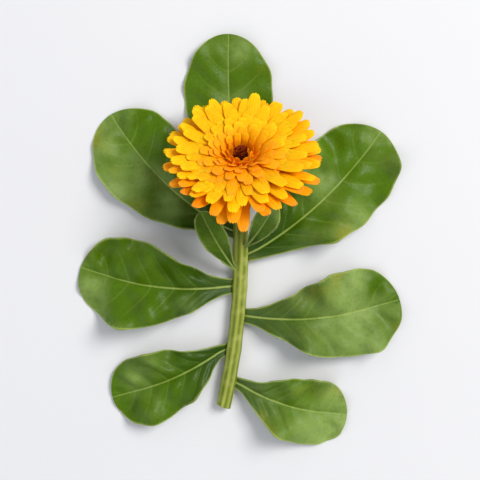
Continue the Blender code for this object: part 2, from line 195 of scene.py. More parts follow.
def grid_blank(name: str, columns: Sequence[float], rows: Sequence[float]) -> bpy.types.Object:
    """Adds a flat sheet whose UV map says how far across and along each point lies.

    Args:
        name: The object's name.
        columns: Places of its vertices in x, from -1 to 1.
        rows: Places of its vertices in y, from 0 to 1.

    Returns:
        The sheet.
    """
    deselect_all()
    bpy.ops.mesh.primitive_grid_add(
        x_subdivisions=len(columns) - 1, y_subdivisions=len(rows) - 1, size=2.0, calc_uvs=True
    )
    sheet = bpy.context.object
    sheet.name = name
    points = coordinates(sheet)
    across = np.rint((points[:, 0] + 1) / 2 * (len(columns) - 1)).astype(int)
    along = np.rint((points[:, 1] + 1) / 2 * (len(rows) - 1)).astype(int)
    points[:, 0] = np.asarray(columns)[across]
    points[:, 1] = np.asarray(rows)[along]
    set_coordinates(sheet, points)
    layer = sheet.data.uv_layers[UV_NAME]
    for loop in sheet.data.loops:
        place = points[loop.vertex_index]
        layer.data[loop.index].uv = ((place[0] + 1) / 2, place[1])
    return sheet


def ringed_cylinder(name: str, sides: int, bands: int, ends: str = "NGON") -> bpy.types.Object:
    """Adds an upright cylinder of radius one from z = 0 to 1, cut into equal bands.

    Args:
        name: The object's name.
        sides: Faces round it.
        bands: Faces up its side.
        ends: How its ends are filled.

    Returns:
        The cylinder.
    """
    deselect_all()
    bpy.ops.mesh.primitive_cylinder_add(
        vertices=sides, radius=1.0, depth=1.0, end_fill_type=ends, location=(0, 0, 0.5)
    )
    cylinder = bpy.context.object
    cylinder.name = name
    bpy.ops.object.transform_apply(location=True)
    bpy.ops.object.mode_set(mode="EDIT")
    for band in range(1, bands):
        bpy.ops.mesh.select_all(action="SELECT")
        bpy.ops.mesh.bisect(plane_co=(0, 0, band / bands), plane_no=(0, 0, 1))
    bpy.ops.object.mode_set(mode="OBJECT")
    return cylinder


def turned(name: str, profile: Sequence[tuple[float, float]], sides: int) -> bpy.types.Object:
    """Turns a round solid whose rings follow a profile, with its UV map round and up it.

    It starts from a cylinder, because the faces of a sphere come in another order each run, and hairs are
    drawn by the order of the faces.

    Args:
        name: The object's name.
        profile: Radius and height from the top pole to the bottom pole, in metres.
        sides: Faces round it.

    Returns:
        The solid, upright at the origin.
    """
    last = len(profile) - 1
    bands = last - 2
    solid = ringed_cylinder(name, sides, bands, "TRIFAN")
    points = coordinates(solid)
    ring = 1 + np.rint((1 - points[:, 2]) * bands).astype(int)
    pole = np.hypot(points[:, 0], points[:, 1]) < 0.5
    ring[pole] = np.where(points[pole, 2] > 0.5, 0, last)
    angle = np.arctan2(points[:, 1], points[:, 0])
    shape = np.asarray(profile)
    points[:, 0] = shape[ring, 0] * np.cos(angle)
    points[:, 1] = shape[ring, 0] * np.sin(angle)
    points[:, 2] = shape[ring, 1]
    set_coordinates(solid, points)
    layer = solid.data.uv_layers[UV_NAME]
    for loop in solid.data.loops:
        index = loop.vertex_index
        layer.data[loop.index].uv = (0.5 + angle[index] / (2 * math.pi), 1 - ring[index] / last)
    return solid


def smooth_profile(points: Sequence[tuple[float, float]], steps: int) -> list[tuple[float, float]]:
    """Rounds a profile by a curve through its points.

    Args:
        points: Radius and height of each point.
        steps: Steps from one point to the next.

    Returns:
        The radius and height of each step.
    """
    shape = np.asarray([points[0], *points, points[-1]])
    result: list[tuple[float, float]] = []
    for index in range(1, len(shape) - 2):
        before, start, end, after = shape[index - 1 : index + 3]
        for step in range(steps):
            t = step / steps
            place = 0.5 * (
                2 * start
                + (end - before) * t
                + (2 * before - 5 * start + 4 * end - after) * t**2
                + (3 * start - before - 3 * end + after) * t**3
            )
            result.append((max(0.0, float(place[0])), float(place[1])))
    result.append((float(shape[-1][0]), float(shape[-1][1])))
    return result


def copy_of(obj: bpy.types.Object, name: str) -> bpy.types.Object:
    """Copies an object with its mesh.

    Args:
        obj: The object.
        name: The copy's name.

    Returns:
        The copy, linked to the scene.
    """
    twin = obj.copy()
    twin.data = obj.data.copy()
    twin.name = name
    bpy.context.scene.collection.objects.link(twin)
    return twin


def joined(pieces: Sequence[bpy.types.Object], name: str) -> bpy.types.Object:
    """Joins objects into the first of them.

    Args:
        pieces: The objects.
        name: The name of the whole.

    Returns:
        The whole.
    """
    make_active(pieces[0])
    for piece in pieces:
        piece.select_set(True)
    bpy.ops.object.join()
    whole = bpy.context.object
    whole.name = name
    whole.data.name = name
    return whole


def shade(obj: bpy.types.Object, material: bpy.types.Material, angle: float = 50.0) -> None:
    """Gives a piece its material and smooth shading.

    Args:
        obj: The piece.
        material: Its material.
        angle: The steepest edge, in degrees, that is still shaded smooth.
    """
    obj.data.materials.clear()
    obj.data.materials.append(material)
    make_active(obj)
    bpy.ops.object.shade_smooth_by_angle(angle=math.radians(angle))


def hand_over(piece: bpy.types.Object, slot: Slot, *nodes: str) -> None:
    """Fixes a finished piece to the flower and reports it.

    Args:
        piece: The piece, in place.
        slot: The material slot that it takes its finish from; not used.
        *nodes: The solids that it stands for.
    """
    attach(piece, BODY)
    if nodes:
        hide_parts(*nodes)
    LOG.info("%s: %d faces, stands for %s", piece.name, len(piece.data.polygons), ", ".join(nodes) or "none")


def bloom_matrix() -> Matrix:
    """The bloom's frame: its +Z is the way the face looks."""
    place = Matrix.Translation(LAYOUT_SHIFT + BLOOM_CENTRE)
    return place @ Matrix.Rotation(FACE_ELEVATION - math.pi / 2, 4, "X")


def to_bloom(points: np.ndarray) -> np.ndarray:
    """Carries rows of points from the bloom's frame to the flower's."""
    matrix = np.asarray(bloom_matrix())
    return points @ matrix[:3, :3].T + matrix[:3, 3]


def on_arc(
    share: np.ndarray, lift: np.ndarray, length: float, rise: float, curl: float
) -> tuple[np.ndarray, np.ndarray]:
    """Bends a straight strap up or down into an arc.

    Args:
        share: Places along it, from 0 to 1.
        lift: Heights over its middle line, in metres.
        length: Its length in metres.
        rise: Its slope at its foot, in radians.
        curl: How much steeper it is at its tip, in radians.

    Returns:
        How far out and how high the points lie from its foot.
    """
    slope = rise + curl * share
    if abs(curl) < 1e-6:
        reach, height = length * share * math.cos(rise), length * share * math.sin(rise)
    else:
        reach = length * (np.sin(slope) - math.sin(rise)) / curl
        height = length * (math.cos(rise) - np.cos(slope)) / curl
    return reach - np.sin(slope) * lift, height + np.cos(slope) * lift


# Finishes


def add_node(
    tree: bpy.types.NodeTree,
    kind: str,
    inputs: Sequence[object] | dict[int | str, object] = (),
    out: int | str = 0,
    **settings: object,
) -> bpy.types.NodeSocket:
    """Adds one node with its settings and links.

    Args:
        tree: The material's node tree.
        kind: The node's type, without its "ShaderNode".
        inputs: A value, or the socket that feeds it, for each input in order or by name or number.
        out: Which of its outputs is wanted.
        **settings: The node's own properties by name.

    Returns:
        That output.
    """
    node = tree.nodes.new("ShaderNode" + kind)
    for key, value in settings.items():
        setattr(node, key, value)
    for key, value in inputs.items() if isinstance(inputs, dict) else enumerate(inputs):
        if isinstance(value, bpy.types.NodeSocket):
            tree.links.new(value, node.inputs[key])
        else:
            node.inputs[key].default_value = value
    return node.outputs[out]


def new_material(name: str, **shader_values: object) -> tuple[bpy.types.Material, bpy.types.Node, Callable]:
    """Makes a material with one Principled shader.

    Args:
        name: The material's name.
        **shader_values: Uniform values for its sockets, with _ for each space.

    Returns:
        The material, its shader, and add_node for its tree.
    """
    material = bpy.data.materials.new(name)
    material.use_nodes = True
    shader = material.node_tree.nodes["Principled BSDF"]
    for key, value in shader_values.items():
        shader.inputs[key.replace("_", " ")].default_value = value
    return material, shader, partial(add_node, material.node_tree)


def connect(shader: bpy.types.Node, **outputs: bpy.types.NodeSocket) -> None:
    """Links sockets to a shader's inputs.

    Args:
        shader: The shader.
        **outputs: The socket for each input, by the input's name with _ for each space.
    """
    for key, output in outputs.items():
        shader.id_data.links.new(output, shader.inputs[key.replace("_", " ")])


def painted(
    node: Callable, base: str, *layers: tuple[bpy.types.NodeSocket, str | bpy.types.NodeSocket]
) -> bpy.types.NodeSocket:
    """Lays colours one over another.

    Args:
        node: Adds a node to the material's tree.
        base: The lowest colour as sRGB hex.
        *layers: How much of each further colour shows, and the colour as sRGB hex or as a socket.

    Returns:
        The colour of them all.
    """
    color = linear(base)
    for share, over in layers:
        over = linear(over) if isinstance(over, str) else over
        # A mix of colours takes its share at input 0 and its colours at 6 and 7, and its output is number 2.
        color = node("Mix", {0: share, 6: color, 7: over}, out=2, data_type="RGBA")
    return color


def blade_place(node: Callable) -> tuple[bpy.types.NodeSocket, bpy.types.NodeSocket, bpy.types.NodeSocket]:
    """Reads where a point lies on a petal or a leaf.

    Args:
        node: Adds a node to the material's tree.

    Returns:
        Its place across and along, both from 0 to 1, and how far it is to the side, from 0 to 1 at the edge.
    """
    uv = node("UVMap", uv_map=UV_NAME)
    across = node("SeparateXYZ", (uv,), "X")
    along = node("SeparateXYZ", (uv,), "Y")
    centred = node("Math", (across, 2.0, -1.0), operation="MULTIPLY_ADD")
    side = node("Math", (centred,), operation="ABSOLUTE")
    return across, along, side


@dataclass(frozen=True)
class PetalFinish:
    """Living petal: matt carotene-coloured tissue, thin enough to glow, with fine lines along it.

    A span says where a change of colour starts and ends, and a share how much of the new colour shows.
    """

    claw: str = "#fa9a04"
    body: str = "#fba800"
    blade: str = "#fdc000"
    tip: str = "#ffd80c"
    warm_tint_and_shade: str = "#fb8000"
    line: str = "#f29600"
    under: str = "#fba60a"
    blush: str = "#ff9c30"
    claw_span: Span = (0.0, 0.35)
    blade_span: Span = (0.3, 0.75)
    tip_span: Span = (0.82, 1.0)
    edge_span: Span = (0.6, 1.0)
    blush_span: Span = (0.3, 0.6)
    mottle_span: Span = (0.4, 0.7)
    warm_share: float = 0.85
    tip_share: float = 0.7
    line_share: float = 0.24
    edge_share: float = 0.15
    under_share: float = 0.6
    mottle_share: float = 0.14
    lines: float = 5.0
    mottle_size: float = 1.6 * MM
    grain_size: float = 0.35 * MM
    relief: float = 0.1 * MM

    def build(self) -> bpy.types.Material:
        """Makes the petal material.

        Returns:
            The material.
        """
        # Petal tissue is matt, with a faint gloss from its papillae, and so thin that light passes through.
        material, shader, node = new_material(
            "petal_tissue",
            Roughness=0.6,
            IOR=1.35,
            Specular_IOR_Level=0.2,
            Subsurface_Weight=0.35,
            Subsurface_Radius=(1.0, 0.5, 0.1),
            Subsurface_Scale=0.7 * MM,
        )
        across, along, side = blade_place(node)
        tone, under = (node("Attribute", out="Fac", attribute_name=name) for name in ("tone", "under"))
        place = node("TexCoord", out="Object")
        foot = node(inputs=(along, *self.claw_span, 0.0, 1.0), **STEP)
        outer = node(inputs=(along, *self.blade_span, 0.0, 1.0), **STEP)
        # The warm orange follows the tone: each whorl's own warmth, with painted shade on the low side of the
        # bloom. The mottle is the petal's own.
        warmth = node("Math", (tone, self.warm_share), operation="MULTIPLY")
        # The long petals have paler yellow tips, partly their own colour and partly a painted highlight, and
        # those of the short ones round the eye are pale orange.
        inner = node(inputs=(tone, *self.blush_span, 0.0, 1.0), **STEP)
        tip = painted(node, self.tip, (inner, self.blush))
        end = node(inputs=(along, *self.tip_span, 0.0, self.tip_share), **STEP)
        # Fine lines run along the petal about 0.9 mm apart, twice as coarse as real ones, so that they show.
        turn = node("Math", (across, 2 * math.pi * self.lines), operation="MULTIPLY")
        wave = node("Math", (turn,), operation="SINE")
        line = node("Math", (wave, 0.5, 0.5), operation="MULTIPLY_ADD")
        faint = node("Math", (line, self.line_share), operation="MULTIPLY")
        rim = node(inputs=(side, *self.edge_span, 0.0, self.edge_share), **STEP)
        back = node("Math", (under, self.under_share), operation="MULTIPLY")
        patches = node("TexNoise", {"Vector": place, "Scale": 1 / self.mottle_size, "Detail": 3.0})
        mottle = node(inputs=(patches, *self.mottle_span, 0.0, self.mottle_share), **STEP)
        color = painted(
            node,
            self.claw,
            (foot, self.body),
            (outer, self.blade),
            (warmth, self.warm_tint_and_shade),
            (end, tip),
            (faint, self.line),
            (rim, self.line),
            (back, self.under),
            (mottle, self.warm_tint_and_shade),
        )
        cells = node("TexNoise", {"Vector": place, "Scale": 1 / self.grain_size, "Detail": 3.0})
        height = node("Math", (cells, 0.5, line), operation="MULTIPLY_ADD")
        bump = node("Bump", {"Height": height, "Distance": self.relief, "Strength": 0.5})
        connect(shader, Base_Color=color, Normal=bump)
        return material


@dataclass(frozen=True)
class EyeFinish:
    """Disc florets: velvety maroon tubes, some with orange specks at their mouths, of pollen and painted
    highlight.
    """

    foot: str = "#2e0601"
    mouth: str = "#6e1c02"
    pollen_and_highlight: str = "#d2661c"
    mouth_span: Span = (0.2, 0.9)
    pollen_and_highlight_span: Span = (0.7, 0.98)
    grain_size: float = 0.2 * MM
    relief: float = 0.08 * MM

    def build(self) -> bpy.types.Material:
        """Makes the eye's material.

        Returns:
            The material.
        """
        # Maroon cells are matt and dark; pollen, with painted highlights on the tubes' rims, gives the orange
        # specks.
        material, shader, node = new_material(
            "disc_floret_tissue", Roughness=0.75, IOR=1.4, Specular_IOR_Level=0.15
        )
        reach, tone = (node("Attribute", out="Fac", attribute_name=name) for name in ("reach", "tone"))
        place = node("TexCoord", out="Object")
        upper = node(inputs=(reach, *self.mouth_span, 0.0, 1.0), **STEP)
        rim = node(inputs=(reach, *self.pollen_and_highlight_span, 0.0, 1.0), **STEP)
        speck = node("Math", (rim, tone), operation="MULTIPLY")
        color = painted(node, self.foot, (upper, self.mouth), (speck, self.pollen_and_highlight))
        cells = node("TexNoise", {"Vector": place, "Scale": 1 / self.grain_size, "Detail": 3.0})
        bump = node("Bump", {"Height": cells, "Distance": self.relief, "Strength": 0.5})
        connect(shader, Base_Color=color, Normal=bump)
        return material


@dataclass(frozen=True)
class LeafFinish:
    """Thick leaf with a soft wax bloom: deep green at its foot, partly painted shade, under a grey-green cast
    towards its tip, partly wax and partly painted sheen.

    A span says where a change starts and ends, and a share how much of the new colour shows. The rib's share
    and width get less towards the tip.
    """

    deep_green_and_shade: str = "#264300"
    green: str = "#507200"
    wax_and_sheen: str = "#98b062"
    rib: str = "#a3b65c"
    vein: str = "#7f9640"
    margin: str = "#a2b25c"
    ochre: str = "#94891c"
    under: str = "#7c9450"
    green_span: Span = (0.05, 0.6)
    wax_and_sheen_span: Span = (0.42, 0.7)
    wax_and_sheen_share: float = 0.75
    reach_span: Span = (0.15, 0.95)
    reach_range: Span = (0.25, 1.0)
    ochre_span: Span = (0.56, 0.7)
    ochre_share: float = 0.55
    ochre_power: float = 3.0
    vein_half: float = 0.07
    vein_span: Span = (0.5, 0.9)
    vein_share: float = 0.22
    fleck_span: Span = (0.45, 0.75)
    fleck_share: float = 0.2
    satin_span: Span = (0.3, 0.7)
    roughness_range: Span = (0.36, 0.5)
    dark_share: float = 0.3
    under_share: float = 0.6
    rib_half: Span = (0.1 * MM, 0.6 * MM)
    rib_slimming: float = -0.55
    rib_share: float = 0.75
    rib_fading: float = -0.35
    margin_width: Span = (0.1 * MM, 0.65 * MM)
    margin_share: float = 0.65
    cloud_size: float = 26 * MM
    patch_size: float = 21 * MM
    fleck_size: float = 1.2 * MM
    mesh_size: float = 1.3 * MM
    cushion_span: Span = (0.0, 0.25)
    cushion_share: float = 0.35
    relief: float = 0.16 * MM

    def build(self) -> bpy.types.Material:
        """Makes the leaf material.

        Returns:
            The material.
        """
        # A thin wax film over green tissue: satin highlights from its roughness, and paler grey-green patches
        # towards the tip that are partly thick wax and partly painted sheen.
        material, shader, node = new_material("waxy_leaf", IOR=1.42, Specular_IOR_Level=0.24)
        _, along, side = blade_place(node)
        names = ("tone", "under", "half")
        tone, under, breadth = (node("Attribute", out="Fac", attribute_name=name) for name in names)
        place = node("TexCoord", out="Object")
        half = node("Math", (breadth, WIDEST_HALF), operation="MULTIPLY")
        from_rib = node("Math", (side, half), operation="MULTIPLY")
        from_margin = node("Math", (half, from_rib), operation="SUBTRACT")
        cloud = node("TexNoise", {"Vector": place, "Scale": 1 / self.cloud_size, "Detail": 3.0})
        # Partly painted shade: the blade is darkest at its foot and its greens are dark, for the shade among
        # crowded leaves.
        upper = node(inputs=(along, *self.green_span, 0.0, 1.0), **STEP)
        darker = node("Math", (tone, self.dark_share), operation="MULTIPLY")
        # Partly painted sheen: pale grey-green patches that grow towards the tip.
        wax_and_sheen_patches = node(inputs=(cloud, *self.wax_and_sheen_span, 0.0, self.wax_and_sheen_share), **STEP)
        reach = node(inputs=(along, *self.reach_span, *self.reach_range), **STEP)
        wax_and_sheen_mask = node("Math", (wax_and_sheen_patches, reach), operation="MULTIPLY")
        # A few older, ochre patches lie near the margin.
        patches = node("TexNoise", {"Vector": place, "Scale": 1 / self.patch_size, "Detail": 3.0})
        patch = node(inputs=(patches, *self.ochre_span, 0.0, self.ochre_share), **STEP)
        near_margin = node("Math", (side, self.ochre_power), operation="POWER")
        old = node("Math", (patch, near_margin), operation="MULTIPLY")
        # Faint side veins leave the rib about 8 mm apart and bend towards the tip.
        curve = node("Math", (side, VEIN_BEND), operation="POWER")
        bend = node("Math", (curve, VEIN_LEAN), operation="MULTIPLY")
        count = node("Math", (along, VEINS), operation="MULTIPLY")
        slant = node("Math", (count, bend), operation="SUBTRACT")
        phase = node("Math", (slant,), operation="FRACT")
        shifted = node("Math", (phase, 0.5), operation="SUBTRACT")
        offset = node("Math", (shifted,), operation="ABSOLUTE")
        thread = node(inputs=(offset, 0.0, self.vein_half, 1.0, 0.0), **STEP)
        fade = node(inputs=(side, *self.vein_span, self.vein_share, 0.0), **STEP)
        vein = node("Math", (thread, fade), operation="MULTIPLY")
        slimmer = node("Math", (along, self.rib_slimming, 1.0), operation="MULTIPLY_ADD")
        rib_place = node("Math", (from_rib, slimmer), operation="DIVIDE")
        strength = node("Math", (along, self.rib_fading, self.rib_share), operation="MULTIPLY_ADD")
        middle = node(inputs=(rib_place, *self.rib_half, strength, 0.0), **STEP)
        rim = node(inputs=(from_margin, *self.margin_width, self.margin_share, 0.0), **STEP)
        back = node("Math", (under, self.under_share), operation="MULTIPLY")
        dots = node("TexNoise", {"Vector": place, "Scale": 1 / self.fleck_size, "Detail": 2.0})
        fleck = node(inputs=(dots, *self.fleck_span, 0.0, self.fleck_share), **STEP)
        color = painted(
            node,
            self.deep_green_and_shade,
            (upper, self.green),
            (darker, self.deep_green_and_shade),
            (wax_and_sheen_mask, self.wax_and_sheen),
            (old, self.ochre),
            (vein, self.vein),
            (middle, self.rib),
            (rim, self.margin),
            (back, self.under),
            (fleck, self.deep_green_and_shade),
        )
        satin = node(inputs=(cloud, *self.satin_span, *self.roughness_range), **STEP)
        # The finest net of veins has meshes of about 1.3 mm.
        meshes = {"Vector": place, "Scale": 1 / self.mesh_size}
        net = node("TexVoronoi", meshes, "Distance", feature="DISTANCE_TO_EDGE")
        cushion = node(inputs=(net, *self.cushion_span, 0.0, self.cushion_share), **STEP)
        height = node("Math", (cushion, cloud), operation="ADD")
        bump = node("Bump", {"Height": height, "Distance": self.relief, "Strength": 0.5})
        connect(shader, Base_Color=color, Roughness=satin, Normal=bump)
        return material


@dataclass(frozen=True)
class StemFinish:
    """Juicy ridged stem and bracts: yellow-green, paler on the ridges."""

    furrow: str = "#66751c"
    ridge: str = "#99a243"
    pale: str = "#b5b964"
    pale_span: Span = (0.45, 0.72)
    pale_share: float = 0.5
    cloud_size: float = 5 * MM
    skin_size: float = 0.6 * MM
    relief: float = 0.12 * MM

    def build(self) -> bpy.types.Material:
        """Makes the stem and bract material.

        Returns:
            The material.
        """
        # Water-filled tissue under a thin skin: satin, yellow-green, with paler raised lines.
        material, shader, node = new_material("green_stem", Roughness=0.5, IOR=1.42, Specular_IOR_Level=0.3)
        raised = node("Attribute", out="Fac", attribute_name="raised")
        place = node("TexCoord", out="Object")
        cloud = node("TexNoise", {"Vector": place, "Scale": 1 / self.cloud_size, "Detail": 4.0})
        patch = node(inputs=(cloud, *self.pale_span, 0.0, self.pale_share), **STEP)
        color = painted(node, self.furrow, (raised, self.ridge), (patch, self.pale))
        skin = node("TexNoise", {"Vector": place, "Scale": 1 / self.skin_size, "Detail": 3.0})
        bump = node("Bump", {"Height": skin, "Distance": self.relief, "Strength": 0.5})
        connect(shader, Base_Color=color, Normal=bump)
        return material


@dataclass(frozen=True)
class PithFinish:
    """The cut face of the stem: wet pale pith inside a greener ring."""

    pith: str = "#dfe3b4"
    ring: str = "#8d9b45"
    sponge_size: float = 0.4 * MM
    relief: float = 0.15 * MM

    def build(self) -> bpy.types.Material:
        """Makes the cut face's material.

        Returns:
            The material.
        """
        # Freshly cut pith is wet and spongy, with darker strands in a ring near the skin.
        material, shader, node = new_material("cut_pith", Roughness=0.35, IOR=1.38)
        raised = node("Attribute", out="Fac", attribute_name="raised")
        place = node("TexCoord", out="Object")
        color = painted(node, self.pith, (raised, self.ring))
        sponge = node("TexNoise", {"Vector": place, "Scale": 1 / self.sponge_size, "Detail": 3.0})
        bump = node("Bump", {"Height": sponge, "Distance": self.relief, "Strength": 0.7})
        connect(shader, Base_Color=color, Normal=bump)
        return material


@dataclass(frozen=True)
class PatchyFinish:
    """A plain finish of one colour that shifts a little towards a second one in soft patches."""

    name: str
    color: str
    second: str
    share: float
    patch_size: float
    roughness: float
    ior: float = 1.5
    patch_span: Span = (0.3, 0.7)

    def build(self) -> bpy.types.Material:
        """Makes the material.

        Returns:
            The material.
        """
        material, shader, node = new_material(self.name, Roughness=self.roughness, IOR=self.ior)
        place = node("TexCoord", out="Object")
        cloud = node("TexNoise", {"Vector": place, "Scale": 1 / self.patch_size, "Detail": 3.0})
        shift = node(inputs=(cloud, *self.patch_span, 0.0, self.share), **STEP)
        connect(shader, Base_Color=painted(node, self.color, (shift, self.second)))
        return material


# A plant hair is a row of clear cells that catches light, so it is a pale, shiny thread.
HAIR_FINISH = PatchyFinish("plant_hair", "#dfe5c4", "#b9c48c", 0.4, 3 * MM, roughness=0.35, ior=1.4)
# Painted studio board is matt white, a trace greyer in places.
FLOOR_FINISH = PatchyFinish("studio_board", "#dedfe2", "#d9dade", 0.25, 90 * MM, roughness=0.8)


# Bloom


@dataclass(frozen=True)
class Whorl:
    """One ring of petals. Lengths are in mm and angles in degrees; warmth shifts its colour to red-orange."""

    count: int
    length: float
    width: float
    rise: float
    curl: float
    root_radius: float
    root_height: float
    warmth: float


@dataclass
class RayFlorets:
    """The petals: wide flat straps outside, short incurved ones in the button round the eye.

    The whorls are those of the solids, and the inner fill adds rings between them. Pairs are the least and
    the most of a random draw. Bends are in mm for a petal 20 mm long, turns in degrees, the rest in shares.
    """

    whorls: tuple[Whorl, ...] = (
        Whorl(21, 20.6, 4.6, 6, 0, 6.0, 0.2, 0.30),
        Whorl(21, 20.2, 4.5, 13, -2, 5.9, 0.8, 0.15),
        Whorl(19, 19.2, 4.4, 21, -8, 5.7, 1.3, 0.05),
        Whorl(19, 17.2, 4.2, 29, -22, 5.4, 1.7, 0.05),
        Whorl(17, 12.4, 4.1, 42, -56, 5.0, 2.0, 0.20),
        Whorl(15, 11.0, 3.9, 58, -66, 4.7, 2.3, 0.40),
        Whorl(13, 7.0, 3.0, 64, -34, 4.4, 2.5, 0.62),
        Whorl(12, 5.2, 2.3, 72, -20, 4.0, 2.7, 0.70),
        Whorl(10, 3.8, 1.9, 80, 6, 3.5, 2.9, 0.90),
    )
    inner_fill: tuple[Whorl, ...] = (
        Whorl(20, 14.8, 4.0, 36, -40, 5.2, 1.85, 0.10),
        Whorl(18, 11.8, 3.8, 50, -62, 4.85, 2.15, 0.30),
        Whorl(14, 8.4, 3.6, 61, -46, 4.55, 2.4, 0.54),
    )
    fill_seed: int = 19
    outer_whorls: int = 5
    layout_seed: int = 7
    detail_seed: int = 11
    thickness: float = 0.3 * MM
    edge_share: float = 0.35
    groove: float = 0.22 * MM
    notch: float = 0.035
    shoulder: float = 0.012
    corner: float = 0.05
    broader: float = 1.03
    # Painted shade: extra orange on the low side beside the stem, and for the short inner petals also painted
    # light, less orange, on the far side.
    outer_painted_shade: float = 0.4
    inner_painted_shading: float = 0.34
    inner_length: float = 15.0
    low_whorls: int = 2
    long_whorls: int = 3
    long_tone_scatter: float = 0.18
    short_tone_scatter: float = 0.08
    columns: tuple[float, ...] = (-1.0, -0.68, -0.34, 0.0, 0.34, 0.68, 1.0)
    rows: tuple[float, ...] = (0.0, 0.2, 0.4, 0.58, 0.74, 0.86, 0.95, 1.0)
    widest: float = 0.64
    claw_share: float = 0.34
    tip_closure: float = 0.86
    tip_power: float = 2.4
    full_length: float = 20 * MM
    full_half: float = 2.3 * MM
    ruffle: float = 0.2
    ruffle_waves: float = 1.2
    ruffle_lag: float = 1.4
    cupping: Span = (0.04, 0.2)
    tip_bend: Span = (-1.0, 0.5)
    tip_bend_start: float = 0.68
    twist: float = 10.0
    sway: float = 0.9
    place_scatter: float = 0.16
    rise_scatter: float = 3.0
    curl_scatter: float = 5.0
    inner_looseness: float = 0.5
    length_range: Span = (0.95, 1.02)
    width_range: Span = (0.92, 1.06)
    side_stretch: float = 0.05
    stem_side: float = math.radians(-90)
    droop_side: float = math.radians(-98)
    droop_turn: float = math.radians(4)
    droop_curl: float = math.radians(22)
    droop_half_angle: float = math.radians(22)
    table_lift: float = math.radians(3)
    receptacle_rise: float = 3.4 * MM
    receptacle_inset: float = 0.3 * MM
    eye_radius: float = 2.5 * MM

    def model_blank(self) -> bpy.types.Object:
        """Models one flat petal: grooves along it, three teeth at its tip, thin edges.

        Returns:
            The petal, with x across it from -1 to 1, y along it from 0 to 1, and z in metres.
        """
        blank = grid_blank("petal_blank", self.columns, self.rows)
        groove_x, shoulder_x, edge_x = self.columns[4:]
        bpy.ops.object.mode_set(mode="EDIT")
        select_where(blank, lambda co: abs(abs(co.x) - groove_x) < 0.01 and co.y < 0.99)
        bpy.ops.transform.translate(value=(0.0, 0.0, -self.groove))
        for column, back in ((groove_x, self.notch), (shoulder_x, self.shoulder), (edge_x, self.corner)):
            select_where(blank, lambda co, at=column: abs(abs(co.x) - at) < 0.01 and co.y > 0.99)
            bpy.ops.transform.translate(value=(0.0, -back, 0.0))
        bpy.ops.object.mode_set(mode="OBJECT")
        body = blank.vertex_groups.new(name="body")
        for vert in blank.data.vertices:
            edge = max(abs(vert.co.x), vert.co.y if vert.co.y > 0.9 else 0.0)
            body.add([vert.index], self.edge_share if edge > 0.99 else 1.0, "REPLACE")
        flat_count = len(blank.data.vertices)
        apply_modifier(
            blank,
            "SOLIDIFY",
            thickness=self.thickness,
            offset=0.0,
            vertex_group="body",
            thickness_vertex_group=0.0,
        )
        under = np.arange(len(blank.data.vertices)) >= flat_count
        heights = coordinates(blank)[:, 2]
        if heights[under].mean() > heights[~under].mean():
            under = ~under
        set_attribute(blank, "under", under.astype(float))
        return blank

    def outline(self, share: np.ndarray) -> np.ndarray:
        """Gives the outline, from the narrow claw to the round tip.

        Args:
            share: Places along the petal, from 0 to 1.

        Returns:
            The half width there as a share of the widest.
        """
        body = np.sin(math.pi / 2 * np.minimum(share / self.widest, 1.0))
        past = np.clip((share - self.widest) / (1 - self.widest), 0.0, 1.0)
        closing = np.sqrt(1.0 - self.tip_closure * past**self.tip_power)
        return (self.claw_share + (1 - self.claw_share) * body) * closing

    @staticmethod
    def turn_from(side: float, azimuth: float) -> float:
        """The smallest turn from one side to this azimuth."""
        return (azimuth - side + math.pi) % (2 * math.pi) - math.pi

    def laid(
        self, flat: np.ndarray, draw: random.Random, whorl: Whorl, shape: dict[str, float]
    ) -> np.ndarray:
        """Bends the flat petal onto its arc and sets it out from the bloom's axis.

        Args:
            flat: The blank's points.
            draw: The source of its small irregularities.
            whorl: The ring that it stands in.
            shape: Its azimuth, rise, curl, length and width.

        Returns:
            Its points in the flower's frame.
        """
        side, share, lift = flat[:, 0], flat[:, 1], flat[:, 2].copy()
        half = 0.5 * shape["width"] * self.broader * self.outline(share)
        small = shape["length"] / self.full_length
        lift *= half / self.full_half
        turns = self.ruffle_waves * share + draw.random()
        ruffle = self.ruffle * MM * small * np.sin(2 * math.pi * turns + self.ruffle_lag * side)
        lift += ruffle * side**2 - draw.uniform(*self.cupping) * half * side**2
        tip = draw.uniform(*self.tip_bend) * MM * small**1.5
        lift += tip * (np.clip(share - self.tip_bend_start, 0.0, None) / (1 - self.tip_bend_start)) ** 2
        twist = math.radians(draw.uniform(-self.twist, self.twist)) * share
        sway = draw.uniform(-self.sway, self.sway) * MM * small * share**2
        out = half * side * np.cos(twist) + lift * np.sin(twist)
        up = lift * np.cos(twist) - half * side * np.sin(twist)
        reach, height = on_arc(share, up, shape["length"], shape["rise"], shape["curl"])
        x, z = whorl.root_radius * MM + reach, whorl.root_height * MM + height
        local = np.stack([x, sway - out, z], axis=1)
        turn = np.asarray(Matrix.Rotation(shape["azimuth"], 3, "Z"))
        return to_bloom(local @ turn.T)

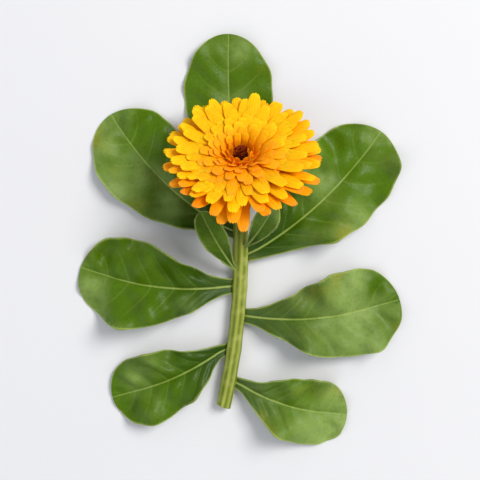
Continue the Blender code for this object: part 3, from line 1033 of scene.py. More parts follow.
    def shape_of(self, draw: random.Random, row: int, place: int) -> dict[str, float]:
        """Draws one petal's size and place, with the droop beside the stem and the lift beside the table.

        Args:
            draw: The source of its random numbers.
            row: Its whorl's number.
            place: Its place in the whorl.

        Returns:
            Azimuth, rise, curl, length and width, in radians and metres.
        """
        whorl = (self.whorls + self.inner_fill)[row]
        outer = max(0.0, 1.0 - row / self.outer_whorls)
        looseness = 1.0 if outer else self.inner_looseness
        scatter = draw.uniform(-self.place_scatter, self.place_scatter)
        azimuth = 2 * math.pi * (place + 0.5 * (row % 2) + scatter) / whorl.count
        rise = math.radians(whorl.rise + looseness * draw.uniform(-self.rise_scatter, self.rise_scatter))
        curl = math.radians(whorl.curl + looseness * draw.uniform(-self.curl_scatter, self.curl_scatter))
        length = whorl.length * draw.uniform(*self.length_range) * MM
        length *= 1 + self.side_stretch * math.cos(azimuth)
        width = whorl.width * draw.uniform(*self.width_range) * MM
        droop = max(0.0, 1.0 - (self.turn_from(self.droop_side, azimuth) / self.droop_half_angle) ** 2)
        lift = max(0.0, -math.cos(self.turn_from(self.stem_side, azimuth))) ** 2
        return {
            "azimuth": azimuth,
            "rise": rise + outer * (self.table_lift * lift - self.droop_turn * droop),
            "curl": curl - outer * self.droop_curl * droop,
            "length": length,
            "width": width,
        }

    def warmth_with_painted_shade_at(self, row: int, whorl: Whorl, azimuth: float) -> float:
        """The warmth of a petal's colour: its whorl's own, with painted shade that makes it more orange on
        the low side beside the stem, and for short petals painted light that makes it more yellow on the far
        side.

        Args:
            row: Its whorl's number.
            whorl: The whorl.
            azimuth: Its place round the bloom, in radians.

        Returns:
            The warmth, about 0 to 1.
        """
        # Painted shade and light by the petal's side of the bloom, on top of its whorl's own warmth.
        if row < self.low_whorls:
            return whorl.warmth + self.outer_painted_shade * (0.5 - 0.5 * math.sin(azimuth))
        if whorl.length < self.inner_length:
            return whorl.warmth - self.inner_painted_shading * math.sin(azimuth)
        return whorl.warmth

    def build(self, material: bpy.types.Material, green: bpy.types.Material) -> None:
        """Makes every petal, and the receptacle that they grow from.

        Args:
            material: The petal material.
            green: The bract material, for the receptacle's side.
        """
        blank = self.model_blank()
        flat = coordinates(blank)
        layout = random.Random(self.layout_seed)
        fill_layout = random.Random(self.fill_seed)
        detail = random.Random(self.detail_seed)
        petals = []
        for row, whorl in enumerate(self.whorls + self.inner_fill):
            for place in range(whorl.count):
                petal = copy_of(blank, f"petal_{row}_{place}")
                shape = self.shape_of(layout if row < len(self.whorls) else fill_layout, row, place)
                set_coordinates(petal, self.laid(flat, detail, whorl, shape))
                # The tone is the whorl's own warmth, with painted shade on the low side and a little random
                # spread.
                tone = self.warmth_with_painted_shade_at(row, whorl, shape["azimuth"])
                scatter = self.long_tone_scatter if row < self.long_whorls else self.short_tone_scatter
                tone += detail.uniform(-1.0, 1.0) * scatter
                set_attribute(petal, "tone", min(1.0, max(0.0, tone)))
                petals.append(petal)
        bpy.data.objects.remove(blank)
        florets = joined(petals, "ray_florets_fine")
        shade(florets, material, 60.0)
        hand_over(florets, Slot.PETALS, "ray_florets")
        self.build_receptacle(material, green)

    def build_receptacle(self, material: bpy.types.Material, green: bpy.types.Material) -> None:
        """Makes the low dome under the petals' roots.

        Args:
            material: The petal material, for its top.
            green: The bract material, for its side.
        """
        radius, depth = RECEPTACLE_RADIUS - self.receptacle_inset, RECEPTACLE_DEPTH
        rise = self.receptacle_rise - self.receptacle_inset
        profile = (
            (0.0, rise),
            (self.eye_radius, rise),
            (0.70 * radius, 0.80 * rise),
            (0.93 * radius, 0.45 * rise),
            (radius, 0.0),
            (0.95 * radius, -0.30 * depth),
            (0.70 * radius, -depth),
            (0.0, -depth),
        )
        dome = turned("receptacle_fine", smooth_profile(profile, 3), 40)
        low = [face.index for face in dome.data.polygons if face.center.z < 0.3 * rise]
        set_coordinates(dome, to_bloom(coordinates(dome)))
        set_attribute(dome, "tone", 1.0)
        set_attribute(dome, "under", 1.0)
        set_attribute(dome, "raised", 0.3)
        shade(dome, material)
        dome.data.materials.append(green)
        for index in low:
            dome.data.polygons[index].material_index = 1
        hand_over(dome, Slot.PETALS)


@dataclass
class DiscFlorets:
    """The dark eye: a low mound of small tubes, shut in the middle and open round it."""

    base: float = 3.7 * MM
    radius: float = 2.5 * MM
    mound: float = 1.6 * MM
    tubes: int = 34
    tube_radius: float = 0.3 * MM
    tube_length: float = 1.8 * MM
    tube_reach: float = 0.74
    flare: float = 1.35
    wall: float = 0.12 * MM
    mouth_depth: float = 0.55 * MM
    dome_width: float = 1.1
    dome_rim: float = 0.1429 * MM
    dome_height: float = 0.28 * MM
    open_from: float = 0.55
    lean: float = math.radians(16)
    lean_scatter: float = 0.08
    foot_scatter: float = 0.15 * MM
    speckled_share: float = 0.55
    speck_range: Span = (0.5, 1.0)
    plain_tone: float = 0.1
    seed: int = 5

    def model_tube(self, stage: FloretStage) -> bpy.types.Object:
        """Models one upright tube: a shut one has a domed top, an open one a flared mouth.

        Args:
            stage: Which of the two.

        Returns:
            The tube, with its foot at the origin.
        """
        deselect_all()
        bpy.ops.mesh.primitive_cylinder_add(
            vertices=6, radius=self.tube_radius, depth=self.tube_length, location=(0, 0, self.tube_length / 2)
        )
        tube = bpy.context.object
        bpy.ops.object.transform_apply(location=True)
        bpy.ops.object.mode_set(mode="EDIT")
        top = self.tube_length - 1e-6
        select_where(tube, lambda co: co.z > top)
        if stage is FloretStage.OPEN:
            width, rim, lift = self.flare, self.wall, -self.mouth_depth
        else:
            width, rim, lift = self.dome_width, self.dome_rim, self.dome_height
        bpy.ops.transform.resize(value=(width, width, 1.0))
        bpy.ops.mesh.inset(thickness=rim)
        bpy.ops.transform.translate(value=(0.0, 0.0, lift))
        bpy.ops.object.mode_set(mode="OBJECT")
        set_attribute(tube, "reach", coordinates(tube)[:, 2] / self.tube_length)
        return tube

    def build(self, material: bpy.types.Material) -> None:
        """Makes the mound with its tubes.

        Args:
            material: The eye's material.
        """
        profile = (
            (0.0, self.base + self.mound),
            (0.55 * self.radius, self.base + 0.85 * self.mound),
            (0.88 * self.radius, self.base + 0.45 * self.mound),
            (0.92 * self.radius, self.base - 0.3 * MM),
            (0.0, self.base - 0.3 * MM),
        )
        pieces = [turned("eye_mound", smooth_profile(profile, 3), 24)]
        set_coordinates(pieces[0], to_bloom(coordinates(pieces[0])))
        set_attribute(pieces[0], "reach", 0.0)
        set_attribute(pieces[0], "tone", 0.0)
        blanks = {stage: self.model_tube(stage) for stage in FloretStage}
        draw = random.Random(self.seed)
        golden_angle = math.pi * (3 - math.sqrt(5))
        for index in range(self.tubes):
            spread = math.sqrt((index + 0.5) / self.tubes)
            stage = FloretStage.OPEN if spread > self.open_from else FloretStage.BUD
            tube = copy_of(blanks[stage], f"tube_{index}")
            foot = self.base + self.mound * (0.62 - 0.5 * spread**2)
            foot += draw.uniform(-self.foot_scatter, self.foot_scatter)
            place = Matrix.Rotation(index * golden_angle, 4, "Z")
            place @= Matrix.Translation((self.tube_reach * self.radius * spread, 0.0, foot))
            lean = self.lean * spread + draw.uniform(-self.lean_scatter, self.lean_scatter)
            place @= Matrix.Rotation(lean, 4, "Y")
            tube.data.transform(bloom_matrix() @ place)
            # Some open tubes get orange specks: pollen, and painted highlight on their rims.
            speckled = stage is FloretStage.OPEN and draw.random() < self.speckled_share
            set_attribute(tube, "tone", draw.uniform(*self.speck_range) if speckled else self.plain_tone)
            pieces.append(tube)
        for blank in blanks.values():
            bpy.data.objects.remove(blank)
        eye = joined(pieces, "disc_florets_fine")
        shade(eye, material, 40.0)
        hand_over(eye, Slot.EYE, "disc_florets")


# Green parts


@dataclass(frozen=True)
class BractRing:
    """One ring of bracts beside the ring of the solids: how far lower, how long, how raised and how bent.

    The drop is in mm, the length a share of the solids' bracts, and the angles in degrees more than theirs.
    """

    drop: float
    length: float
    rise: float
    curl: float


@dataclass
class Involucre:
    """The green cup under the petals, with three rings of narrow pointed bracts."""

    radius: float = 8.6 * MM
    neck: float = 2.1 * MM
    seat_gap: float = 0.4 * MM
    rib_depth: float = 0.035
    cup_sides: int = 84
    bracts: int = 21
    bract_length: float = 11.0 * MM
    bract_width: float = 2.4 * MM
    bract_thickness: float = 0.4 * MM
    bract_rib: float = 0.18 * MM
    short_share: float = 0.88
    length_range: Span = (0.95, 1.03)
    rise: float = math.radians(-14)
    curl: float = math.radians(-24)
    rise_scatter: float = 4.0
    curl_scatter: float = 8.0
    place_scatter: float = 0.1
    sway: float = 0.7
    cupping: float = 0.16
    tip_share: float = 0.06
    tip_power: float = 0.8
    foot_radius: float = 0.84
    foot_depth: float = 0.40
    rings: tuple[BractRing, ...] = (
        BractRing(0.0, 1.0, 0.0, 0.0),
        BractRing(0.9, 0.8, -14.0, 0.0),
        BractRing(-1.1, 0.92, 34.0, -22.0),
    )
    seed: int = 21

    def model_cup(self) -> bpy.types.Object:
        """Turns the cup and raises its ribs.

        Returns:
            The cup, in place.
        """
        seat = RECEPTACLE_DEPTH + self.seat_gap
        profile = (
            (0.0, -seat),
            (0.74 * RECEPTACLE_RADIUS, -seat),
            (RECEPTACLE_RADIUS + 0.35 * MM, -0.60 * RECEPTACLE_DEPTH),
            (self.radius, -0.70 * RECEPTACLE_DEPTH),
            (0.97 * self.radius, -0.46 * CUP_DEPTH),
            (0.70 * self.radius, -0.76 * CUP_DEPTH),
            (0.36 * self.radius, -0.94 * CUP_DEPTH),
            (self.neck + 0.5 * MM, -CUP_DEPTH),
            (0.0, -CUP_DEPTH),
        )
        cup = turned("cup", smooth_profile(profile, 3), self.cup_sides)
        points = coordinates(cup)
        angle = np.arctan2(points[:, 1], points[:, 0])
        outside = np.clip(-points[:, 2] / CUP_DEPTH - 0.25, 0.0, 0.4) / 0.4
        rib = 0.5 + 0.5 * np.cos(self.bracts * angle)
        points[:, :2] *= (1 + self.rib_depth * outside * (rib - 0.5))[:, None]
        set_coordinates(cup, to_bloom(points))
        set_attribute(cup, "raised", 0.2 + 0.6 * rib)
        return cup

    def model_bract_blank(self) -> bpy.types.Object:
        """Models one flat bract with a raised rib and thin edges.

        Returns:
            The bract, with x across it from -1 to 1, y along it from 0 to 1, and z in metres.
        """
        rows = (0.0, 0.18, 0.36, 0.54, 0.7, 0.84, 0.94, 1.0)
        blank = grid_blank("bract_blank", (-1.0, -0.55, 0.0, 0.55, 1.0), rows)
        bpy.ops.object.mode_set(mode="EDIT")
        select_where(blank, lambda co: abs(co.x) < 0.01)
        bpy.ops.transform.translate(value=(0.0, 0.0, -self.bract_rib))
        bpy.ops.object.mode_set(mode="OBJECT")
        flat = np.abs(coordinates(blank)[:, 0])
        set_attribute(blank, "raised", 0.85 - 0.75 * np.sin(math.pi * flat) ** 2)
        apply_modifier(blank, "SOLIDIFY", thickness=self.bract_thickness, offset=0.0)
        return blank

    def laid(
        self, flat: np.ndarray, draw: random.Random, ring: BractRing, place: int, shift: float
    ) -> np.ndarray:
        """Bends the flat bract onto its arc and sets it on the cup.

        Args:
            flat: The blank's points.
            draw: The source of its small irregularities.
            ring: The ring that it stands in.
            place: Its place in the ring.
            shift: How far the ring is turned, in places.

        Returns:
            Its points in the flower's frame.
        """
        side, share, lift = flat.T
        length = self.bract_length * ring.length * (1.0 if place % 2 else self.short_share)
        length *= draw.uniform(*self.length_range)
        rise = self.rise + math.radians(ring.rise + draw.uniform(-self.rise_scatter, self.rise_scatter))
        curl = self.curl + math.radians(ring.curl + draw.uniform(-self.curl_scatter, self.curl_scatter))
        outline = self.tip_share + (1 - self.tip_share) * np.cos(math.pi / 2 * share) ** self.tip_power
        half = 0.5 * self.bract_width * outline
        reach, height = on_arc(share, lift + self.cupping * half * side**2, length, rise, curl)
        foot = -self.foot_depth * CUP_DEPTH - ring.drop * MM
        sway = draw.uniform(-self.sway, self.sway) * MM * share**2
        local = np.stack([self.foot_radius * self.radius + reach, sway - half * side, foot + height], axis=1)
        scatter = draw.uniform(-self.place_scatter, self.place_scatter)
        turn = Matrix.Rotation(2 * math.pi * (place + shift + scatter) / self.bracts, 3, "Z")
        return to_bloom(local @ np.asarray(turn).T)

    def build(self, material: bpy.types.Material) -> bpy.types.Object:
        """Makes the cup with its bracts.

        Args:
            material: The stem and bract material.

        Returns:
            The finished piece, for its hairs.
        """
        blank = self.model_bract_blank()
        flat = coordinates(blank)
        draw = random.Random(self.seed)
        pieces = [self.model_cup()]
        for number, ring in enumerate(self.rings):
            for place in range(self.bracts):
                bract = copy_of(blank, f"bract_{number}_{place}")
                set_coordinates(bract, self.laid(flat, draw, ring, place, 0.5 * number))
                pieces.append(bract)
        bpy.data.objects.remove(blank)
        whole = joined(pieces, "involucre_fine")
        shade(whole, material)
        hand_over(whole, Slot.STEM, "involucre")
        return whole


@dataclass
class Stem:
    """The ridged stem: it lies on the table, then its neck curves up to the cup."""

    radius: float = 2.6 * MM
    neck_radius: float = 2.1 * MM
    lie_length: float = 54.0 * MM
    sway: float = -6.0 * MM
    ridges: int = 7
    ridge_depth: float = 0.05
    ridge_turn: float = 4.0
    fine_ridge_depth: float = 0.012
    fine_ridge_turn: float = 9.0
    node_swelling: float = 0.07
    node_reach: float = 2.2 * MM
    table_gap: float = 0.1 * MM
    rest_gap: float = 0.02 * MM
    cup_gap: float = 0.45 * MM
    into_cup: float = 0.8 * MM
    cut_rings: tuple[float, ...] = (0.16, 0.22, 0.30)
    cut_slant: float = 0.35 * MM
    cut_dish: float = 0.25 * MM
    cut_width: float = 0.95
    cut_facing: float = 0.8
    strand_span: Span = (0.6, 0.9)
    pith_tone: float = 0.15
    sides: int = 56
    step: float = 1.1 * MM

    def neck_arc(self) -> tuple[float, float]:
        """Works out the neck's bend.

        Returns:
            The y in the layout where the neck leaves the lying stem, and its radius of bend.
        """
        top = bloom_matrix() @ Vector((0.0, 0.0, -CUP_DEPTH - self.cup_gap)) - LAYOUT_SHIFT
        bend = (top.z - self.radius - self.table_gap) / (1 - math.cos(FACE_ELEVATION))
        return top.y - bend * math.sin(FACE_ELEVATION), bend

    def length(self) -> float:
        """Length from the cut end to the cup."""
        return self.lie_length + self.neck_arc()[1] * FACE_ELEVATION

    def frame_at(self, distance: float) -> tuple[Vector, Vector, float]:
        """The stem's course.

        Args:
            distance: Length along it from its cut end.

        Returns:
            Its centre, its direction and its radius there.
        """
        neck_y, bend = self.neck_arc()
        height = self.radius + self.table_gap
        share = distance / self.lie_length
        radius = self.radius
        if share < 1.0:
            centre = Vector((self.sway * (1 - share) ** 2, neck_y + distance - self.lie_length, height))
            direction = Vector((-2 * self.sway * (1 - share) / self.lie_length, 1.0, 0.0)).normalized()
        else:
            slope = (distance - self.lie_length) / bend
            centre = Vector((0.0, neck_y + bend * math.sin(slope), height + bend * (1 - math.cos(slope))))
            direction = Vector((0.0, math.cos(slope), math.sin(slope)))
            radius += (self.neck_radius - self.radius) * min(1.0, slope / FACE_ELEVATION)
        return centre + LAYOUT_SHIFT, direction, radius

    def swelling(self, distance: float) -> float:
        """How much thicker the stem is near the leaves that grow from it."""
        places = [(distance - leaf.seat * MM) / self.node_reach for leaf in LEAVES]
        return sum(self.node_swelling * math.exp(-(place**2)) for place in places)

    def build(self, material: bpy.types.Material, cut: bpy.types.Material) -> bpy.types.Object:
        """Makes the stem.

        Args:
            material: The stem's material.
            cut: The material of its cut end.

        Returns:
            The finished piece, for its hairs.
        """
        end = self.length() + self.into_cup
        stem = ringed_cylinder("stem_fine", self.sides, round(end / self.step))
        bpy.ops.object.mode_set(mode="EDIT")
        bpy.ops.mesh.select_mode(type="FACE")
        bpy.ops.mesh.select_all(action="DESELECT")
        bpy.ops.object.mode_set(mode="OBJECT")
        for face in stem.data.polygons:
            face.select = face.normal.z < -0.9
        bpy.ops.object.mode_set(mode="EDIT")
        for width in self.cut_rings:
            bpy.ops.mesh.inset(thickness=width)
        bpy.ops.object.mode_set(mode="OBJECT")
        points = coordinates(stem)
        raised = np.zeros(len(points))
        for index, (x, y, z) in enumerate(points.copy()):
            distance = end * z
            centre, direction, radius = self.frame_at(distance)
            right = direction.cross(UP).normalized()
            top = right.cross(direction)
            angle = math.atan2(y, x)
            crest = math.cos(self.ridges * angle + self.ridge_turn * z)
            fine = self.fine_ridge_depth * math.sin(3 * self.ridges * angle + self.fine_ridge_turn * z)
            reach = math.hypot(x, y)
            size = radius * (1 - self.ridge_depth + self.ridge_depth * crest + fine + self.swelling(distance))
            place = centre + (right * math.cos(angle) + top * math.sin(angle)) * reach * size
            if z < 1e-6:
                slant = self.cut_slant * reach * math.cos(angle)
                place -= direction * (slant + self.cut_dish * (1 - reach**2))
            points[index] = place
            strand = self.strand_span[0] < reach < self.strand_span[1]
            raised[index] = 0.5 + 0.5 * crest if reach > 0.99 else (1.0 if strand else self.pith_tone)
        points[:, 2] = np.maximum(points[:, 2], self.rest_gap)
        set_coordinates(stem, points)
        set_attribute(stem, "raised", raised)
        shade(stem, material)
        stem.data.materials.append(cut)
        cut_centre, cut_way, _ = self.frame_at(0.0)
        for face in stem.data.polygons:
            near = (face.center - cut_centre).length < self.cut_width * self.radius
            if near and abs(face.normal.dot(cut_way)) > self.cut_facing:
                face.material_index = 1
        hand_over(stem, Slot.STEM, "stem")
        return stem


@dataclass
class FoliageLeaf:
    """One thick blade, laid as its solid is, with a sunk rib, cushions between its veins and a waved margin.

    The seat is the place of its foot along the stem in mm, and the side its angle round the stem in degrees.
    It starts off along the heading, turns by the sweep, and slopes from rise to fall, all in degrees. Length,
    width and wave are in mm, the fold in degrees, the waves are counted along the blade, and the phase is in
    radians.
    """

    name: str
    seat: float
    side: float
    heading: float
    sweep: float
    length: float
    width: float
    rise: float
    fall: float
    fold: float
    wave: float
    waves: float
    phase: float
    rows: int = 64
    columns: int = 26
    crowding: float = 1.3
    edge_thickness: float = 0.5 * MM
    rib_thickness: float = 1.25 * MM
    rib_spread: float = 2.2
    rib_power: float = 1.5
    foot_gap: float = 0.3 * MM
    foot_lift: float = 0.6 * MM
    foot_depth: float = 0.9 * MM
    foot_end: float = 0.06
    straight_from: float = 0.2
    spine_height: float = 0.2 * MM
    least_height: float = 0.45 * MM
    table_gap: float = 0.02 * MM
    floor: float = 0.9 * MM
    softness: float = 0.8 * MM
    widest: float = 0.64
    foot_share: float = 0.17
    tip_power: float = 2.3
    tip_end: float = 0.9994
    tip_rows: float = 0.36
    tip_start: float = 0.95
    foot_power: float = 1.6
    fold_loss: float = 0.6
    wave_lag: float = 1.3
    growth_reach: float = 0.3
    wave_reach: float = 0.8
    groove: float = 0.4 * MM
    groove_half: float = 0.7
    groove_loss: float = 0.5
    bulge: float = 0.9 * MM
    bulge_start: float = 3.0
    bulge_foot: float = 0.2
    tip_fade: float = 0.12
    foot_fade: float = 0.25
    swelling: float = 0.25
    swelling_start: float = 6.0
    swelling_waves: tuple[tuple[float, float], ...] = ((0.055, 0.03), (-0.035, 0.06), (0.02, -0.085))
    ruffle: float = 0.8 * MM
    ruffle_length: float = 11.0
    ruffle_lag: float = 1.5
    nick: float = 0.02
    nick_waves: tuple[tuple[float, float, float], ...] = ((1.0, 16.0, 1.0), (0.6, 37.0, 2.0))

    def outline(self, share: float) -> float:
        """Gives the outline: a long narrow foot, a broad body and a round tip.

        Args:
            share: Place along the leaf, from 0 to 1.

        Returns:
            The half width there as a share of the widest.
        """
        if share < self.widest:
            body = math.sin(math.pi / 2 * share / self.widest) ** self.foot_power
            return self.foot_share + (1 - self.foot_share) * body
        past = self.tip_end * (share - self.widest) / (1 - self.widest)
        return math.sqrt(1 - past**self.tip_power)

    def row_shares(self) -> list[float]:
        """Places the rows along the leaf, crowded at its tip so that the tip is round.

        Returns:
            The rows' places, from 0 to 1.
        """
        tip = round(self.tip_rows * self.rows)
        body = self.rows - tip
        lower = [self.widest * step / body for step in range(body)]
        turns = [math.sin(math.pi / 2 * step / tip) for step in range(tip + 1)]
        return lower + [self.widest + (1 - self.widest) * turn for turn in turns]

    def above(self, height: float) -> float:
        """Keeps a height over the floor, with a soft bend where the blade meets it."""
        return self.floor + self.softness * math.log1p(math.exp((height - self.floor) / self.softness))

    def spine(self, stem: Stem, shares: Sequence[float]) -> list[tuple[Vector, Vector]]:
        """Lays out the rib's course from its foot in the stem.

        Args:
            stem: The stem that carries it.
            shares: The places along it, from 0 to 1.

        Returns:
            For each place its point, and the way across the leaf.
        """
        centre, stem_way, radius = stem.frame_at(self.seat * MM)
        right = stem_way.cross(UP).normalized()
        out = Matrix.Rotation(-math.radians(self.side), 3, stem_way) @ right
        point = centre + out * (radius + self.foot_gap + self.foot_lift * max(0.0, out.z))
        rows = []
        last = 0.0
        for share in shares:
            heading = math.radians(self.heading + self.sweep * share)
            slope = math.radians(self.rise + (self.fall - self.rise) * share)
            forward = Vector((math.cos(heading), math.sin(heading), 0.0))
            way = forward * math.cos(slope) + UP * math.sin(slope)
            point = point + way * (share - last) * self.length * MM
            last = share
            across = Vector((-forward.y, forward.x, 0.0))
            along_stem = (across - out * across.dot(out)).normalized()
            across = along_stem.lerp(across, min(1.0, share / self.straight_from)).normalized()
            point.z = max(point.z, self.spine_height)
            sunk = out * self.foot_depth * max(0.0, 1 - share / self.foot_end)
            rows.append((point - sunk, across))
        return rows

    def relief(self, side: float, share: float, half: float, phases: Sequence[float]) -> float:
        """Gives the relief: the rib's groove, cushions between the veins, lumps and a ruffled margin.

        Args:
            side: Place across, from -1 to 1.
            share: Place along, from 0 to 1.
            half: Half width there in metres.
            phases: Random phases of this leaf.

        Returns:
            Metres above the plain blade.
        """
        reach = abs(side)
        x, y = side * half / MM, share * self.length
        groove = -self.groove * math.exp(-((x / self.groove_half) ** 2)) * (1 - self.groove_loss * share)
        vein_phase = (share * VEINS - VEIN_LEAN * reach**VEIN_BEND + 0.5) % 1.0
        inner = min(1.0, abs(x) / self.bulge_start) * (1 - reach**4) * min(1.0, share / self.bulge_foot)
        bulge = self.bulge * math.sin(math.pi * vein_phase) ** 2 * inner
        total = 0.0
        for (over, up), phase in zip(self.swelling_waves, phases):
            total += math.sin(2 * math.pi * (over * x + up * y) + phase)
        lump = self.swelling * self.wave * MM * total * min(1.0, abs(x) / self.swelling_start)
        turn = 2 * math.pi * y / self.ruffle_length + phases[3] + self.ruffle_lag * side
        ruffle = self.ruffle * reach**3 * math.sin(turn)
        tip_fade = min(1.0, (1.0 - share) / self.tip_fade)
        return groove + ((bulge + ruffle) * tip_fade + lump) * min(1.0, share / self.foot_fade)

    def build(self, stem: Stem, material: bpy.types.Material) -> bpy.types.Object:
        """Makes the leaf.

        Args:
            stem: The stem that carries it.
            material: The leaf material.

        Returns:
            The finished piece, for its hairs.
        """
        draw = random.Random(self.name)
        shares = self.row_shares()
        steps = [2 * step / self.columns - 1 for step in range(self.columns + 1)]
        places = [math.copysign(abs(step) ** self.crowding, step) for step in steps]
        leaf = grid_blank(self.name + "_fine", places, shares)
        spine = self.spine(stem, shares)
        points = coordinates(leaf)
        phases = [draw.uniform(0, 2 * math.pi) for _ in range(6)]
        rib = leaf.vertex_groups.new(name="rib")
        halves = np.zeros(len(points))
        along = points[:, 1].copy()
        for index, (side, share, _) in enumerate(points.copy()):
            row = min(range(len(shares)), key=lambda step: abs(shares[step] - share))
            point, across = spine[row]
            phase = phases[4 if side > 0 else 5]
            nick = self.nick * sum(
                strength * math.sin(waves * share + lag * phase) for strength, waves, lag in self.nick_waves
            )
            half = 0.5 * self.width * MM * self.outline(share) * (1 + nick * side**2)
            growth = min(1.0, share / self.growth_reach)
            fold = math.tan(math.radians(self.fold)) * (1 - self.fold_loss * share) * abs(side) * half
            turn = 2 * math.pi * self.waves * share + self.phase + self.wave_lag * side
            spread = side * min(1.0, self.outline(share) / self.wave_reach)
            wave = self.wave * MM * spread**2 * math.sin(turn)
            place = point - across * side * half
            height = self.above(place.z + growth * (fold + wave))
            height += self.relief(side, share, half, phases)
            points[index] = (place.x, place.y, max(height, self.least_height))
            halves[index] = half / WIDEST_HALF
            rib.add([index], max(0.0, 1.0 - self.rib_spread * abs(side)) ** self.rib_power, "REPLACE")
        set_coordinates(leaf, points)
        set_attribute(leaf, "half", halves)
        flat_count = len(leaf.data.vertices)
        near_tip = np.flatnonzero(along > self.tip_start)
        apply_modifier(
            leaf,
            "SOLIDIFY",
            thickness=self.rib_thickness,
            offset=-1.0,
            vertex_group="rib",
            thickness_vertex_group=self.edge_thickness / self.rib_thickness,
        )
        set_attribute(leaf, "under", (np.arange(len(leaf.data.vertices)) >= flat_count).astype(float))
        set_attribute(leaf, "tone", draw.uniform(0.0, 1.0))
        # The underside follows the upper side straight down at the tip, where the mesh is fine.
        points = coordinates(leaf)
        points[flat_count + near_tip] = points[near_tip] - (0.0, 0.0, self.edge_thickness)
        points[:, 2] = np.maximum(points[:, 2], self.table_gap)
        set_coordinates(leaf, points)
        shade(leaf, material, 60.0)
        hand_over(leaf, Slot.LEAF, self.name)
        return leaf


@dataclass
class HairCoat:
    """Short clear hairs standing on a piece, thicker than real ones so that they show."""

    name: str
    slot: Slot
    count: int
    length: float
    radius: float
    seed: int
    lean: float = 0.45
    length_range: Span = (0.6, 1.15)
    root: float = 0.05 * MM
    least_weight: float = 0.05

    def build(
        self,
        host: bpy.types.Object,
        material: bpy.types.Material,
        keep: Callable[[bpy.types.MeshPolygon], bool],
    ) -> None:
        """Stands hairs on those faces of a piece that pass a test.

        Args:
            host: The piece that carries them.
            material: The hairs' material.
            keep: Says whether a face carries hairs.
        """
        deselect_all()
        bpy.ops.mesh.primitive_cone_add(vertices=3, radius1=1.0, radius2=0.0, depth=1.0, location=(0, 0, 0.5))
        blank = bpy.context.object
        bpy.ops.object.transform_apply(location=True)
        shape = coordinates(blank) * (self.radius, self.radius, self.length)
        faces = [tuple(face.vertices) for face in blank.data.polygons]
        bpy.data.objects.remove(blank)
        draw = random.Random(self.seed)
        mesh = host.data
        carriers = [face for face in mesh.polygons if keep(face)]
        chosen = draw.choices(carriers, [face.area for face in carriers], k=self.count)
        points, all_faces = [], []
        for number, face in enumerate(chosen):
            weights = [draw.random() + self.least_weight for _ in face.vertices]
            total = sum(weights)
            foot = Vector()
            for weight, vertex in zip(weights, face.vertices):
                foot += mesh.vertices[vertex].co * (weight / total)
            way = face.normal + Vector([draw.uniform(-self.lean, self.lean) for _ in range(3)])
            turn = np.asarray(way.to_track_quat("Z", "Y").to_matrix())
            grown = shape * (1.0, 1.0, draw.uniform(*self.length_range))
            base = np.asarray(foot - face.normal * self.root)
            points.append(grown @ turn.T + base)
            all_faces += [tuple(len(shape) * number + corner for corner in one) for one in faces]
        stacked = np.concatenate(points)
        stacked[:, 2] = np.maximum(stacked[:, 2], 0.0)
        coat_mesh = bpy.data.meshes.new(self.name)
        coat_mesh.from_pydata(stacked.tolist(), [], all_faces)
        coat = bpy.data.objects.new(self.name, coat_mesh)
        bpy.context.scene.collection.objects.link(coat)
        coat_mesh.materials.append(material)
        hand_over(coat, self.slot)


LEAVES = (
    FoliageLeaf("leaf_under_bloom", 68.0, -90, 100, -12, 60, 30, -14, 12, 0, 0.8, 1.5, 0.2),
    FoliageLeaf("leaf_upper_left", 61.0, 178, 152, -32, 60, 31, 8, -26, 14, 3.0, 1.9, 0.9),
    FoliageLeaf("leaf_upper_right", 53.0, 2, 30, 26, 64, 32, 11, -26, 14, 3.0, 1.8, 2.2),
    FoliageLeaf("leaf_middle_left", 42.0, 176, 186, -26, 56, 30, 24, -38, 21, 3.6, 2.1, 1.1),
    FoliageLeaf("leaf_middle_right", 32.0, 5, -6, 24, 57, 30, 23, -38, 20, 3.6, 1.9, 3.0),
    FoliageLeaf("leaf_lower_left", 20.0, 178, 214, -20, 46, 25, 22, -38, 21, 3.0, 1.8, 0.0),
    FoliageLeaf("leaf_lower_right", 9.0, 3, -30, 26, 43, 24, 22, -38, 21, 3.0, 1.8, 1.6),
    FoliageLeaf("leaf_neck_right", 56.0, 60, 50, 16, 24, 8, 46, 34, 22, 0.6, 1.4, 0.8, rows=36, columns=12),
    FoliageLeaf("leaf_neck_left", 48.0, 122, 124, -10, 27, 9, 36, 22, 20, 0.6, 1.4, 2.4, rows=36, columns=12),
)


# Studio


@dataclass(frozen=True)
class Softbox:
    """One square softbox: its place and size in metres, its power in watts and its colour."""

    name: str
    place: tuple[float, float, float]
    size: float
    power: float
    color: str


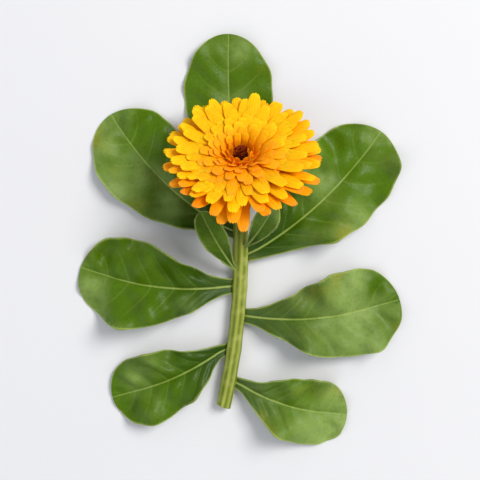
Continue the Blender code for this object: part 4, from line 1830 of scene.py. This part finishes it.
@dataclass
class Studio:
    """A pale floor, soft light from the upper right, and a camera that looks down on the flower."""

    target: tuple[float, float, float] = (0.0, 1.0 * MM, 8.0 * MM)
    distance: float = 384 * MM
    lens: float = 85.0
    past_overhead: float = math.radians(5)
    clipping: Span = (0.01, 20.0)
    floor_size: float = 4.0
    softboxes: tuple[Softbox, ...] = (
        Softbox("key", (0.70, 0.50, 1.03), 0.6, 15.6, "#fffcf8"),
        Softbox("fill", (-0.90, -0.50, 0.82), 1.15, 3.4, "#f4f7ff"),
    )
    surround: str = "#f6f7fb"
    surround_strength: float = 0.55

    def add_floor(self) -> None:
        """Lays the floor."""
        deselect_all()
        bpy.ops.mesh.primitive_plane_add(size=self.floor_size)
        floor = bpy.context.object
        floor.name = "floor"
        floor.data.materials.append(FLOOR_FINISH.build())

    def add_softbox(self, box: Softbox) -> None:
        """Hangs a softbox that faces the flower.

        Args:
            box: The softbox.
        """
        data = bpy.data.lights.new(box.name, "AREA")
        data.size = box.size
        data.energy = box.power
        data.color = linear(box.color)[:3]
        light = bpy.data.objects.new(box.name, data)
        light.location = box.place
        light.rotation_euler = (Vector(self.target) - light.location).to_track_quat("-Z", "Y").to_euler()
        bpy.context.scene.collection.objects.link(light)

    def add_camera(self) -> None:
        """Stands the camera just past the overhead point, with the stem towards the bottom of the picture."""
        data = bpy.data.cameras.new("camera")
        data.lens = self.lens
        data.clip_start, data.clip_end = self.clipping
        camera = bpy.data.objects.new("camera", data)
        away = Vector((0.0, math.sin(self.past_overhead), math.cos(self.past_overhead)))
        camera.location = Vector(self.target) + away * self.distance
        camera.rotation_euler = (-self.past_overhead, 0.0, 0.0)
        bpy.context.scene.collection.objects.link(camera)
        bpy.context.scene.camera = camera

    def build(self) -> None:
        """Sets up the floor, the lights, the camera and the room's pale surround."""
        self.add_floor()
        for box in self.softboxes:
            self.add_softbox(box)
        self.add_camera()
        world = bpy.data.worlds.new("pale_room")
        world.use_nodes = True
        surround = world.node_tree.nodes["Background"]
        surround.inputs["Color"].default_value = linear(self.surround)
        surround.inputs["Strength"].default_value = self.surround_strength
        bpy.context.scene.world = world
        bpy.context.scene.view_settings.view_transform = "Standard"


def main() -> None:
    """Builds the looks in order."""
    logging.basicConfig(level=logging.INFO, format="%(name)s: %(message)s")
    petal = PetalFinish().build()
    leaf = LeafFinish().build()
    green = StemFinish().build()
    hair = HAIR_FINISH.build()
    RayFlorets().build(petal, green)
    DiscFlorets().build(EyeFinish().build())
    cup = Involucre().build(green)
    stem_plan = Stem()
    stem = stem_plan.build(green, PithFinish().build())
    stem_hairs = HairCoat("stem_hairs", Slot.STEM, count=1500, length=0.75 * MM, radius=0.035 * MM, seed=3)
    stem_hairs.build(stem, hair, lambda face: face.material_index == 0)
    bract_hairs = HairCoat("bract_hairs", Slot.STEM, count=900, length=0.55 * MM, radius=0.03 * MM, seed=4)
    bract_hairs.build(cup, hair, lambda face: True)
    for seed, plan in enumerate(LEAVES, 40):
        blade = plan.build(stem_plan, leaf)
        edge = blade.data.uv_layers[UV_NAME].data
        name = plan.name + "_hairs"
        edge_hairs = HairCoat(name, Slot.LEAF, count=260, length=0.5 * MM, radius=0.03 * MM, seed=seed)
        edge_hairs.build(blade, hair, lambda face: abs(edge[face.loop_start].uv.x * 2 - 1) > HAIRY_EDGE)
    Studio().build()


if __name__ == "__main__":
    main()
